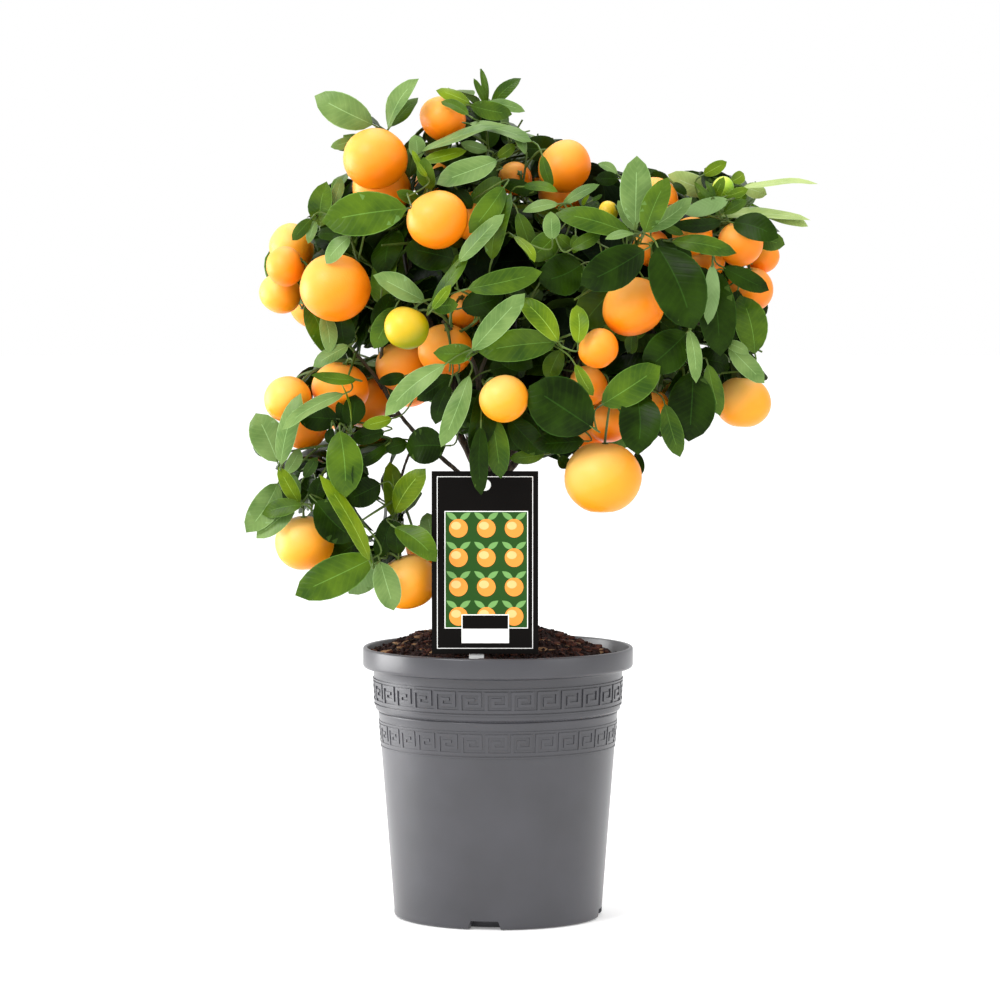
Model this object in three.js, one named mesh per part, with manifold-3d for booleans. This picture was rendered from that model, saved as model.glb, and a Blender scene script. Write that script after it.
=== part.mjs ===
// Calamondin orange tree in its nursery pot.
// Millimetres, +Z up, origin at the centre of the pot's flat underside, front of the plant towards -Y.
import * as THREE from 'three';
import { mergeVertices } from 'three/addons/utils/BufferGeometryUtils.js';
import Module from 'manifold-3d';

// ---------------------------------------------------------------- driving dimensions

const GAP = 0.3; // clearance between neighbouring pieces

const POT = {
  height: 190,
  rimRadius: 95,
  rimWidth: 3.2,
  lipHeight: 14, // straight face of the lip
  lipRound: 3.5, // rounding under the lip
  collarTop: 87.7, // outer radius just under the lip
  collarBottom: 86.2, // outer radius of the collar at its foot
  stepHeight: 145, // where the collar steps in to the body
  step: 2,
  footRadius: 73.3,
  footRound: 4.5,
  wall: 2.2,
  floor: 2.6,
  discRadius: 60, // flat disc in the middle of the underside
  channelDepth: 6, // drain channel between that disc and the foot ring
  ringWidth: 8,
  notches: 4,
  notchTop: 18,
  notchBottom: 24,
  notchTurn: -7.4, // degrees from the front
  segments: 28,
};

const SOIL = { crown: 203, seat: 20, edge: 181, lumps: 1.6, fallToRight: 3 };

const LABEL = {
  width: 73,
  height: 125.5,
  thickness: 0.8,
  bottom: 192,
  left: -45.4,
  front: -78,
  holeRadius: 4,
  holeFromTop: 9.5,
  holeFromLeft: 36.6,
};

const STAKE = { width: 10.2, thickness: 1.5, middle: -14.7, top: 226, bottom: 112 };

const FORK = [-8, 4, 296]; // where the trunk parts into its boughs
const TRUNK = { foot: [-3, 8], radius: 6.6, forkRadius: 5.2, flare: 5.5, flareReach: 9, sides: 10, steps: 7 };

// Boughs: the curve's two handles and its tip, and the radii at its ends. from: the bough that it leaves,
// and where along it, for one that doesn't leave the fork.
const BOUGHS = {
  bough_left: { path: [[-30, -8, 316], [-62, -20, 338], [-80, -26, 372]], radii: [2.8, 1.9] },
  bough_low_left: {
    from: ['bough_left', 0.8], path: [[-80, -27, 355], [-95, -31, 346], [-104, -34, 336]], radii: [1.9, 1.5],
  },
  bough_drooping: {
    from: ['bough_left', 0.6], path: [[-61, -24, 333], [-67, -32, 316], [-69, -38, 300]], radii: [1.9, 1.5],
  },
  bough_upper_left: { path: [[-22, 2, 360], [-46, -8, 410], [-62, -14, 450]], radii: [4.2, 2.6] },
  bough_top: { path: [[-10, 6, 370], [-2, 4, 440], [-6, -4, 492]], radii: [4.4, 2.6] },
  bough_front: { path: [[-6, -18, 330], [-12, -36, 358], [-14, -46, 380]], radii: [2.9, 2] },
  bough_right: { path: [[20, -4, 352], [62, -24, 400], [86, -36, 430]], radii: [4, 2.6] },
  bough_far_right: {
    from: ['bough_right', 0.6], path: [[78, -18, 402], [110, -20, 414], [130, -26, 418]], radii: [2.3, 1.9],
  },
  bough_low_right: { path: [[18, -14, 326], [40, -24, 350], [52, -30, 370]], radii: [2.8, 2] },
  bough_back_left: { path: [[-24, 30, 340], [-56, 48, 384], [-70, 54, 412]], radii: [3.2, 2.1] },
  bough_back: { path: [[-2, 30, 350], [8, 56, 400], [12, 64, 436]], radii: [3.2, 2.1] },
  bough_back_right: { path: [[30, 24, 344], [74, 42, 390], [94, 46, 422]], radii: [3.2, 2.1] },
};
const BOUGH_SIDES = 6;
const BOUGH_STEPS = 5;

const TWIG = {
  stem: 2.2, // radii: a stem at its foot, a shoot at its root and its tip, a fruit's stalk
  root: 1.8,
  tip: 1.4,
  stalk: 1.2,
  sides: 3,
  steps: 2,
  bow: 0.05, // how far a shoot bows aside, as a share of its length, and how much more at each new try
  moreBow: 0.03,
  handle: 0.4, // a stem keeps its bough's heading for this share of its way
  wander: 0.15, // how far that handle moves aside at each new try
  tries: 24,
};
const STEM_SPACING = 13; // between the stems that leave one bough, from its tip down
const SHOOT_SPACING = 5; // between the shoots that leave one stem, from its hub down
const FIRST_SHOOT = 0.96; // where along the stem the first of them leaves it
const FAN = [0.98, -0.15]; // seeded shoots fan from straight outwards to a little past square to that
const FRUIT = {
  sides: 8,
  rings: 4,
  flatness: 0.93,
  stalkDepth: 0.6, // how deep in the fruit its stalk ends, as a share of its radius
  stalkRise: 5, // how far over the fruit the stalk bends
  hangSpots: [0.2, 0.35, 0.5, 0.65, 0.8, 0.92], // along a twig
};
const LEAF = {
  thickness: 1.6,
  rib: 0.3, // how far along the blade it is thickest
  widest: 0.45, // how far along the blade it is widest
  widthToLength: 0.5,
  widthSpread: [0.85, 1.1],
  shortest: 42,
  longest: 60,
  arch: 0.06,
  fold: 0.1,
  rootDepth: 0.5, // how far its root is sunk past the twig's middle
  rootSpacing: 3.5, // between the roots of leading leaves
  petiole: 8, // the blade starts this far from its twig
  span: [0.97, 0.3], // the stretch of a shoot that seeded leaves grow on
  cone: 56, // degrees between twig and leaf
  coneSpread: [0.7, 1.25],
  fullness: 1.25, // a blade of few corners is this much wider, to cover what a rounded leaf covers
  lift: 0.35, // how far a leaf that faces sideways still turns up
  scatter: 0.4,
  reach: 0.8, // seeded leaves keep to this share of their mass's space
  tries: 5,
  twists: [0, 22, -22, 45, -45, 68, -68], // degrees a leading leaf may turn round its midrib
};
const CLEARANCE = 0.45; // kept between two foliage masses
const FINEST = 0.1; // smaller steps than this are smoothed away where a mass is joined
const FRONT = new THREE.Vector3(0, -1, 0);
const CROWN_CENTRE = new THREE.Vector3(0, 0, 400);
const CROWN = new THREE.Box3(new THREE.Vector3(-176, -140, 219), new THREE.Vector3(221, 172, 590));
const GOLDEN_ANGLE = Math.PI * (3 - Math.sqrt(5));

// Foliage masses. hub: where the stem parts into shoots. room: radius of the mass's own space round its hub.
// shoots: a tip and its leading leaves, or null for seeded leaves alone, or an empty list for a bare spire.
// A leading leaf: x, y, z of its tip, its width, and how level it lies, from 0, facing the front, to 1, flat.
// fruit: x, y, z and diameter. more: how many shoots the seeded rule adds, and their length.
const MASSES = {
  foliage_top_left: {
    bough: 'bough_upper_left', hub: [-58, -2, 500], room: 116,
    shoots: [
      [[-77, -35, 551], [[-126, -50, 577, 24, 0], [-56, -30, 586, 15, 0.6], [-56, -48, 573, 12, 0.5]]],
      [[-115, -28, 499], [[-119, -34, 515, 16, 0.2], [-109, -12, 518, 12, 0.6], [-142, -22, 475, 14, 0.5]]],
      [[-84, 38, 514], null],
    ],
    fruit: [[-84, -62, 531, 45], [-81, -20, 511, 41]],
  },
  foliage_upper_front: {
    bough: 'bough_upper_left', hub: [-50, -52, 486], room: 90,
    shoots: [
      [[-47, -88, 524], [[-1, -98, 532, 20, 0], [-20, -82, 541, 14, 0.5], [-50, -108, 530, 12, 0.2]]],
      [[-58, -84, 500], [[-118, -98, 486, 25, 0], [1, -60, 516, 20, 0.4]]],
    ],
    fruit: [[-41, -100, 489, 42], [-15, -58, 492, 36]],
  },
  foliage_top: {
    bough: 'bough_top', hub: [-8, -10, 530], room: 95,
    shoots: [
      [[-8, -20, 570], [[-41, -35, 579, 14, 0.7], [-38, -50, 571, 14, 0.7], [15, -15, 587, 16, 0.5],
        [19, -28, 565, 14, 0.8], [-22, -62, 558, 20, 0.4]]],
      [[-12, -14, 594], []],
      [[-8, -46, 554], [[-50, -84, 534, 22, 0.7], [23, -58, 544, 18, 0.9]]],
    ],
    fruit: [[-38, -32, 559, 33]],
  },
  foliage_top_right: {
    bough: 'bough_top', hub: [12, -8, 500], room: 90,
    shoots: [
      [[20, -27, 536], [[41, -66, 541, 20, 0.3], [19, -20, 553, 12, 0.4], [38, -60, 514, 14, 0.5]]],
      [[6, -62, 503], [[41, -82, 509, 18, 0.7], [12, -60, 540, 12, 0.5], [35, -90, 493, 12, 0.2]]],
    ],
    fruit: [[46, -34, 526, 38], [45, 3, 508, 34], [12, -16, 518, 24]],
  },
  foliage_left: {
    bough: 'bough_upper_left', hub: [-96, -30, 448], room: 85,
    shoots: [
      [[-101, -62, 477], [[-118, -94, 476, 20, 0.3], [-105, -50, 475, 16, 0.4]]],
      [[-120, -46, 420], [[-124, -44, 392, 18, 0.1], [-115, -62, 388, 20, 0.2], [-142, -44, 396, 14, 0.2]]],
      [[-124, 12, 452], null],
    ],
    fruit: [[-111, -80, 443, 49], [-147, -40, 457, 28], [-152, -12, 438, 30]],
  },
  foliage_low_left: {
    bough: 'bough_left', hub: [-100, -34, 398], room: 105,
    shoots: [
      [[-103, -72, 381], [[-127, -84, 383, 14, 0.8], [-138, -78, 361, 16, 0.8], [-77, -80, 376, 14, 0.4]]],
      [[-149, -30, 340], [[-173, -58, 348, 24, 0], [-132, -84, 372, 17, 0.3], [-152, -40, 312, 18, 0.3]]],
      [[-126, 14, 390], null],
    ],
    fruit: [[-109, -40, 373, 40], [-94, 1, 362, 38], [-145, -52, 366, 33], [-134, -18, 343, 30]],
  },
  foliage_inner_left: {
    bough: 'bough_left', hub: [-78, -44, 414], room: 75, more: [1, 34],
    shoots: [[[-84, -66, 428], [[-104, -70, 408, 18, 0.3], [-56, -88, 440, 18, 0.3]]]],
    fruit: [[-66, -26, 388, 38]],
  },
  foliage_hanging_left: {
    bough: 'bough_low_left', hub: [-116, -40, 322], room: 85,
    shoots: [
      [[-137, -50, 291], [[-175, -62, 273, 20, 0], [-162, -72, 289, 18, 0.5], [-151, -66, 318, 13, 0.3]]],
      [[-109, -66, 343], [[-105, -88, 300, 26, 0], [-97, -74, 333, 16, 0.5]]],
      [[-124, -22, 296], [[-101, -38, 269, 24, 0.1], [-126, -4, 312, 20, 0.3]]],
    ],
    fruit: [[-134, -45, 266, 41]],
  },
  foliage_hanging_low: {
    bough: 'bough_drooping', hub: [-70, -44, 286], room: 95,
    shoots: [
      [[-82, -52, 254], [[-141, -66, 231, 27, 0], [-106, -36, 231, 20, 0.2], [-73, -72, 221, 19, 0.1],
        [-122, -60, 304, 16, 0.3]]],
      [[-70, -48, 282], [[-42, -88, 257, 20, 0.2], [-62, -28, 326, 28, 0], [-89, -25, 258, 22, 0.1]]],
    ],
    fruit: [[-62, -46, 239, 41], [-49, -10, 262, 32]],
  },
  foliage_low_front: {
    bough: 'bough_front', hub: [-38, -72, 420], room: 95,
    shoots: [
      [[-33, -90, 386], [[-77, -102, 355, 20, 0.2], [-43, -108, 399, 16, 0.3], [-37, -96, 335, 19, 0.2]]],
      [[-45, -102, 433], [[-22, -116, 467, 12, 0.5], [-32, -120, 445, 9, 0.4], [-26, -118, 427, 12, 0.4],
        [-81, -110, 452, 20, 0.1]]],
    ],
    fruit: [[-62, -104, 416, 31], [-36, -60, 400, 38]],
  },
  foliage_front: {
    bough: 'bough_front', hub: [8, -66, 418], room: 110,
    shoots: [
      [[-16, -100, 446], [[29, -118, 455, 20, 0.4], [-63, -106, 473, 26, 0.1], [3, -116, 506, 18, 0.4]]],
      [[40, -100, 406], [[-14, -112, 400, 24, 0.2], [16, -108, 436, 20, 0.3], [54, -120, 431, 14, 0.2],
        [46, -90, 382, 20, 0.3]]],
      [[-12, -94, 404], [[18, -122, 440, 20, 0.4]]],
    ],
    fruit: [[68, -102, 402, 28]],
  },
  foliage_low_centre: {
    bough: 'bough_front', hub: [2, -62, 364], room: 90,
    shoots: [
      [[-8, -92, 374], [[-12, -106, 316, 18, 0.3], [2, -98, 318, 22, 0.1], [-25, -80, 346, 16, 0.3]]],
      [[60, -84, 352], [[22, -118, 376, 34, 0], [36, -66, 327, 22, 0.2], [15, -58, 328, 22, 0.2]]],
    ],
    fruit: [[4, -104, 368, 34]],
  },
  foliage_right_front: {
    bough: 'bough_right', hub: [84, -60, 458], room: 114, more: [1, 42],
    shoots: [
      [[96, -110, 477], [[94, -108, 532, 23, 0], [40, -128, 494, 20, 0.4], [56, -136, 442, 27, 0.1],
        [115, -112, 517, 19, 0.3], [131, -128, 505, 16, 0.2], [159, -132, 467, 16, 0.5], [130, -124, 416, 31, 0]]],
      [[52, -98, 435], [[28, -104, 470, 26, 0], [80, -122, 446, 24, 0.1]]],
    ],
    fruit: [[92, -88, 430, 43], [107, -50, 501, 35]],
  },
  foliage_right_top: {
    bough: 'bough_right', hub: [146, -36, 480], room: 105, more: [1, 40],
    shoots: [
      [[140, -62, 498], [[158, -90, 503, 16, 0.5], [115, -62, 520, 20, 0.4], [158, -60, 529, 14, 0.3]]],
      [[172, -46, 499], [[220, -50, 515, 16, 0.8], [214, -62, 492, 20, 0.7], [214, -34, 486, 16, 0.8],
        [190, -80, 478, 22, 0.2], [186, -20, 512, 14, 0.2]]],
      [[160, 8, 476], null],
    ],
    fruit: [[166, -64, 473, 32], [133, -66, 478, 28], [144, -32, 460, 27], [184, -10, 464, 25],
      [175, -28, 441, 33]],
  },
  foliage_right: {
    bough: 'bough_far_right', hub: [156, -34, 410], room: 90,
    shoots: [
      [[158, -60, 444], [[188, -84, 436, 18, 0.2]]],
      [[176, -34, 394], [[169, -56, 440, 22, 0.1], [183, -62, 377, 14, 0.3]]],
      [[141, -78, 407], [[135, -98, 378, 13, 0.3], [139, -104, 420, 12, 0.4], [152, -92, 356, 16, 0.3]]],
      [[160, 8, 402], null],
    ],
    fruit: [[170, -34, 363, 39]],
  },
  foliage_low_far_right: {
    bough: 'bough_far_right', hub: [126, -46, 388], room: 90,
    shoots: [
      [[127, -74, 378], [[133, -76, 339, 30, 0], [118, -88, 332, 20, 0.2], [96, -108, 386, 26, 0.1]]],
      [[94, -84, 374], [[94, -98, 330, 28, 0]]],
    ],
    fruit: [[108, -52, 362, 21]],
  },
  foliage_low_right: {
    bough: 'bough_low_right', hub: [58, -46, 392], room: 95, more: [1, 34],
    shoots: [[[76, -84, 363], [[108, -128, 386, 24, 0.2], [65, -112, 370, 12, 0.3]]]],
    fruit: [[72, -76, 313, 53], [76, -50, 350, 31], [62, -72, 376, 28]],
  },
  foliage_back_top: {
    bough: 'bough_top', hub: [-8, 30, 516], room: 100, more: [5, 46], shoots: [],
    fruit: [[-42, 52, 520, 40], [18, 70, 530, 36]],
  },
  foliage_back_left: {
    bough: 'bough_back_left', hub: [-98, 54, 446], room: 105, more: [5, 54], shoots: [],
    fruit: [[-130, 78, 432, 42], [-90, 106, 462, 38], [-146, 34, 470, 34]],
  },
  foliage_back_low_left: {
    bough: 'bough_back_left', hub: [-82, 56, 384], room: 95, more: [4, 46], shoots: [],
    fruit: [[-110, 76, 356, 40], [-64, 102, 372, 36]],
  },
  foliage_back: {
    bough: 'bough_back', hub: [12, 84, 470], room: 100, more: [5, 48], shoots: [],
    fruit: [[-14, 120, 474, 42], [44, 122, 452, 38]],
  },
  foliage_back_low: {
    bough: 'bough_back', hub: [12, 74, 406], room: 95, more: [4, 46], shoots: [],
    fruit: [[2, 110, 376, 40], [40, 94, 360, 34]],
  },
  foliage_back_right: {
    bough: 'bough_back_right', hub: [118, 50, 452], room: 105, more: [5, 54], shoots: [],
    fruit: [[144, 82, 442, 42], [110, 96, 474, 36], [164, 34, 424, 38]],
  },
  foliage_back_low_right: {
    bough: 'bough_back_right', hub: [96, 50, 388], room: 95, more: [4, 46], shoots: [],
    fruit: [[92, 92, 366, 42], [132, 54, 360, 36]],
  },
};
const LEAVES_A_SHOOT = 3; // seeded leaves on a shoot that has leading leaves
const LEAVES_A_SEEDED_SHOOT = 4;

// ---------------------------------------------------------------- geometry to solid and back

const wasm = await Module();
wasm.setup();

function solidOf(geometry) {
  const bare = geometry.clone();
  bare.deleteAttribute('normal');
  bare.deleteAttribute('uv');
  const merged = mergeVertices(bare, 1e-3);
  return new wasm.Manifold(new wasm.Mesh({
    numProp: 3,
    vertProperties: merged.attributes.position.array,
    triVerts: Uint32Array.from(merged.index.array),
  }));
}

function geometryOf(solid) {
  const mesh = solid.getMesh();
  const geometry = new THREE.BufferGeometry();
  geometry.setAttribute('position', new THREE.BufferAttribute(mesh.vertProperties, 3));
  geometry.setIndex(new THREE.BufferAttribute(mesh.triVerts, 1));
  geometry.computeVertexNormals();
  return geometry;
}

const largestBody = (solid) => solid.decompose().reduce((a, b) => (b.volume() > a.volume() ? b : a));
const vec = (point) => new THREE.Vector3(...point);
const mix = (a, b, t) => a + (b - a) * t;

// Park and Miller's generator: one seed always grows the same plant.
function randomStream(...keys) {
  let state = keys.reduce((sum, key) => (sum * 1009 + key * 31 + 17) % 2147483647, 7);
  const next = () => {
    state = (state * 48271) % 2147483647;
    return state / 2147483647;
  };
  next();
  next();
  return next;
}

const anyWay = (random) => new THREE.Vector3(random() - 0.5, random() - 0.5, random() - 0.5);

// ---------------------------------------------------------------- shapes of the plant

// A tapering limb: a cylinder bent along a curve. Grown by a clearance, it cuts room for itself.
function limb(curve, radiusAt, sides, steps, clearance = 0) {
  const tube = new THREE.CylinderGeometry(1, 1, 1, sides, steps);
  const { tangents, normals, binormals } = curve.computeFrenetFrames(steps, false);
  const place = tube.attributes.position;
  for (let i = 0; i < place.count; i += 1) {
    const ring = Math.round((place.getY(i) + 0.5) * steps);
    const radius = radiusAt(ring / steps) + clearance;
    const end = (ring === steps) - (ring === 0);
    const point = curve.getPoint(ring / steps)
      .addScaledVector(tangents[ring], end * clearance)
      .addScaledVector(normals[ring], place.getX(i) * radius)
      .addScaledVector(binormals[ring], -place.getZ(i) * radius);
    place.setXYZ(i, point.x, point.y, point.z);
  }
  return solidOf(tube);
}

const taper = (start, end) => (t) => mix(start, end, t);

// A leaf blade: an octahedron with its corners at the root, the tip, both edges and the midrib's two faces.
function leafSolid(leaf, clearance = 0, start = -LEAF.rootDepth) {
  const across = new THREE.Vector3().crossVectors(leaf.normal, leaf.direction);
  const arch = leaf.length * LEAF.arch;
  const blade = new THREE.OctahedronGeometry(1);
  const place = blade.attributes.position;
  for (let i = 0; i < place.count; i += 1) {
    const [end, side, face] = [place.getX(i), place.getY(i), place.getZ(i)].map(Math.round);
    const along = [start, leaf.length * (side ? LEAF.widest : LEAF.rib), leaf.length + clearance][end + 1];
    const rise = (end ? 0 : arch) + Math.abs(side) * leaf.width * LEAF.fold;
    const point = leaf.root.clone()
      .addScaledVector(leaf.direction, along)
      .addScaledVector(across, side * (leaf.width * LEAF.fullness / 2 + clearance))
      .addScaledVector(leaf.normal, rise + face * (LEAF.thickness / 2 + clearance));
    place.setXYZ(i, point.x, point.y, point.z);
  }
  return solidOf(blade);
}

function fruitSolid(fruit, clearance = 0) {
  const radius = fruit.radius + clearance;
  const ball = new THREE.SphereGeometry(radius, FRUIT.sides, FRUIT.rings);
  ball.scale(1, FRUIT.flatness, 1);
  ball.applyQuaternion(new THREE.Quaternion().setFromUnitVectors(new THREE.Vector3(0, 1, 0), fruit.up));
  ball.translate(...fruit.centre.toArray());
  return solidOf(ball);
}

// ---------------------------------------------------------------- who stands where

const placed = [];

function boxesMeet(a, b) {
  return [0, 1, 2].every((k) => a.min[k] <= b.max[k] && b.min[k] <= a.max[k]);
}

function touches(solid, wanted) {
  const box = solid.boundingBox();
  return placed.some((other) => {
    if (!wanted(other) || !boxesMeet(box, other.box)) {
      return false;
    }
    const common = solid.intersect(other.solid);
    const met = !common.isEmpty();
    common.delete();
    return met;
  });
}

function put(owner, kind, solid) {
  placed.push({ owner, kind, solid, box: solid.boundingBox() });
}

// ---------------------------------------------------------------- trunk and boughs

const soilTop = SOIL.crown + GAP;
const trunkCurve = new THREE.CubicBezierCurve3(
  new THREE.Vector3(...TRUNK.foot, soilTop),
  new THREE.Vector3(...TRUNK.foot, soilTop + 34),
  new THREE.Vector3(FORK[0] - 2, FORK[1], FORK[2] - 34),
  vec(FORK),
);
const trunkLength = trunkCurve.getLength();

function trunkRadius(t) {
  return mix(TRUNK.radius, TRUNK.forkRadius, t) + TRUNK.flare * Math.exp(-t * trunkLength / TRUNK.flareReach);
}

function boughCurve(name) {
  const { from, path } = BOUGHS[name];
  const start = from ? boughCurve(from[0]).getPoint(from[1]) : vec(FORK);
  return new THREE.CubicBezierCurve3(start, ...path.map(vec));
}

function makeLimbs() {
  const solids = { trunk: limb(trunkCurve, trunkRadius, TRUNK.sides, TRUNK.steps) };
  const taken = [limb(trunkCurve, trunkRadius, TRUNK.sides, TRUNK.steps, GAP)];
  for (const [name, { radii }] of Object.entries(BOUGHS)) {
    const curve = boughCurve(name);
    const whole = limb(curve, taper(...radii), BOUGH_SIDES, BOUGH_STEPS);
    solids[name] = largestBody(taken.reduce((rest, other) => rest.subtract(other), whole));
    taken.push(limb(curve, taper(...radii), BOUGH_SIDES, BOUGH_STEPS, GAP));
  }
  for (const [name, solid] of Object.entries(solids)) {
    put(name, 'limb', solid);
  }
  return solids;
}

// ---------------------------------------------------------------- foliage

function bowed(start, end, random, bow) {
  const span = end.clone().sub(start);
  const side = new THREE.Vector3(random() - 0.5, random() - 0.5, random() - 0.2)
    .projectOnPlane(span.clone().normalize())
    .setLength(span.length() * bow);
  return new THREE.QuadraticBezierCurve3(start, start.clone().addScaledVector(span, 0.5).add(side), end);
}

// Seeded shoots fan out from the hub, away from the crown's middle.
function seededTips(mass, index) {
  const [count, length] = mass.more ?? [0, 0];
  const outward = mass.hub.clone().sub(CROWN_CENTRE).normalize();
  const turn = new THREE.Quaternion().setFromUnitVectors(new THREE.Vector3(0, 0, 1), outward);
  const random = randomStream(index, 500);
  return Array.from({ length: count }, (_, k) => {
    const height = mix(...FAN, (k + 0.5) / count);
    const angle = k * GOLDEN_ANGLE + random();
    const flat = Math.sqrt(1 - height * height);
    return new THREE.Vector3(flat * Math.cos(angle), flat * Math.sin(angle), height)
      .applyQuaternion(turn)
      .multiplyScalar(length * mix(0.75, 1, random()))
      .add(mass.hub);
  });
}

// A twig's solid has straight stretches, so what grows on it starts from those.
function onTwig(curve, t) {
  const step = Math.min(Math.floor(t * TWIG.steps), TWIG.steps - 1);
  const start = curve.getPoint(step / TWIG.steps);
  return start.lerp(curve.getPoint((step + 1) / TWIG.steps), t * TWIG.steps - step);
}

// The first bow of a twig that is clear of everything, or else of all but its own mass.
function findWay(mass, start, end, random) {
  let second = null;
  for (let k = 0; k < TWIG.tries; k += 1) {
    const curve = bowed(start, end, random, TWIG.bow + TWIG.moreBow * k);
    const around = limb(curve, taper(TWIG.root, TWIG.tip), TWIG.sides, TWIG.steps, CLEARANCE);
    if (!touches(around, (other) => other.owner !== mass.name)) {
      if (!touches(around, (other) => other.owner === mass.name && other.kind === 'fruit')) {
        return curve;
      }
      second ??= curve;
    }
  }
  return second;
}

// Each stem leaves the bough's middle line and is cut back to a gap off the bough's skin.
function growStem(mass, index, place) {
  const { radii } = BOUGHS[mass.bough];
  const bough = boughCurve(mass.bough);
  const t = 1 - place * STEM_SPACING / bough.getLength();
  const start = bough.getPoint(t);
  const heading = bough.getTangent(t);
  const reach = start.distanceTo(mass.hub) * TWIG.handle;
  const room = limb(bough, taper(...radii), BOUGH_SIDES, BOUGH_STEPS, GAP);
  const random = randomStream(index, 3);
  const strange = (other) => other.owner !== mass.name && other.owner !== mass.bough;
  for (let k = 0; k < TWIG.tries; k += 1) {
    const aside = anyWay(random).multiplyScalar(reach * TWIG.wander * k);
    const handle = start.clone().addScaledVector(heading, reach).add(aside);
    mass.stem = new THREE.QuadraticBezierCurve3(start, handle, mass.hub);
    const around = limb(mass.stem, taper(TWIG.stem, TWIG.root), TWIG.sides, TWIG.steps, CLEARANCE).subtract(room);
    if (!touches(around, strange)) {
      return largestBody(limb(mass.stem, taper(TWIG.stem, TWIG.root), TWIG.sides, TWIG.steps).subtract(room));
    }
  }
  throw new Error(`${mass.name}: its stem finds no way from ${mass.bough} to its hub`);
}

function growShoots(mass, index) {
  const given = mass.shoots.map(([tip, leaves]) => ({ tip: vec(tip), leaves }));
  const seeded = seededTips(mass, index).map((tip) => ({ tip, leaves: null }));
  const spacing = SHOOT_SPACING / mass.stem.getLength();
  mass.twigs = [];
  [...given, ...seeded].forEach((shoot, k) => {
    const start = onTwig(mass.stem, FIRST_SHOOT - spacing * k);
    const curve = findWay(mass, start, shoot.tip, randomStream(index, k, 1));
    if (curve) {
      put(mass.name, 'twig', limb(curve, taper(TWIG.root, TWIG.tip), TWIG.sides, TWIG.steps));
      mass.twigs.push({ curve, leaves: shoot.leaves, number: k });
    }
  });
}

// A fruit hangs by a stalk from the nearest twig of its mass that it can reach.
function hangFruit(mass, fruit) {
  const up = new THREE.Vector3(0, 0, 1);
  const thin = taper(TWIG.stalk, TWIG.stalk);
  const strange = (other) => other.owner !== mass.name || (other.kind === 'fruit' && other.fruit !== fruit);
  const spots = mass.twigs
    .flatMap(({ curve }) => FRUIT.hangSpots.map((t) => onTwig(curve, t)))
    .filter((spot) => spot.distanceTo(fruit.centre) > fruit.radius + 2)
    .sort((a, b) => a.distanceTo(fruit.centre) - b.distanceTo(fruit.centre));
  const stalks = spots.map((spot) => {
    const pull = spot.clone().sub(fruit.centre).normalize().add(up).normalize();
    const inside = fruit.centre.clone().addScaledVector(pull, fruit.radius * FRUIT.stalkDepth);
    const over = fruit.centre.clone().addScaledVector(pull, fruit.radius + FRUIT.stalkRise);
    return new THREE.QuadraticBezierCurve3(spot, over, inside);
  });
  const stalk = stalks.find((curve) => !touches(limb(curve, thin, TWIG.sides, 1, CLEARANCE), strange));
  if (!stalk) {
    throw new Error(`${mass.name}: the fruit at ${fruit.centre.toArray()} reaches no twig`);
  }
  put(mass.name, 'stalk', limb(stalk, thin, TWIG.sides, 1));
}

// A leaf's upper face turns towards a side of the crown, and the more it lies level, towards the sky.
function leafFrame(root, tip, side, level, random) {
  const direction = tip.clone().sub(root).normalize();
  const normal = new THREE.Vector3(0, 0, LEAF.lift + 1.3 * level)
    .addScaledVector(side, 1 - level)
    .addScaledVector(anyWay(random), LEAF.scatter)
    .projectOnPlane(direction)
    .normalize();
  return { direction, normal };
}

// A leaf stays in its mass's space, clear of the other masses and, past its petiole, of its own.
function tryLeaf(mass, leaf, room) {
  const tip = leaf.root.clone().addScaledVector(leaf.direction, leaf.length);
  if (tip.distanceTo(mass.hub) > room || !CROWN.containsPoint(tip)) {
    return false;
  }
  const around = leafSolid(leaf, CLEARANCE);
  const blade = leafSolid(leaf, 0, LEAF.petiole);
  const blocked = touches(around, (other) => other.owner !== mass.name)
    || touches(blade, (other) => other.owner === mass.name);
  if (!blocked) {
    put(mass.name, 'leaf', leafSolid(leaf));
  }
  return !blocked;
}

function leadingLeaf(mass, index, twig, row, k) {
  const [x, y, z, width, level] = row;
  const tip = new THREE.Vector3(x, y, z);
  const random = randomStream(index, twig.number, 40 + k);
  const spacing = LEAF.rootSpacing / twig.curve.getLength();
  for (let attempt = 0; attempt < LEAF.tries; attempt += 1) {
    const root = onTwig(twig.curve, LEAF.span[0] - spacing * (k + 1.3 * attempt));
    const length = root.distanceTo(tip);
    const { direction, normal } = leafFrame(root, tip, FRONT, level, random);
    const turned = LEAF.twists.map(THREE.MathUtils.degToRad)
      .map((twist) => normal.clone().applyAxisAngle(direction, twist));
    if (turned.some((turn) => tryLeaf(mass, { root, width, length, direction, normal: turn }, mass.room))) {
      return;
    }
  }
}

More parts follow.
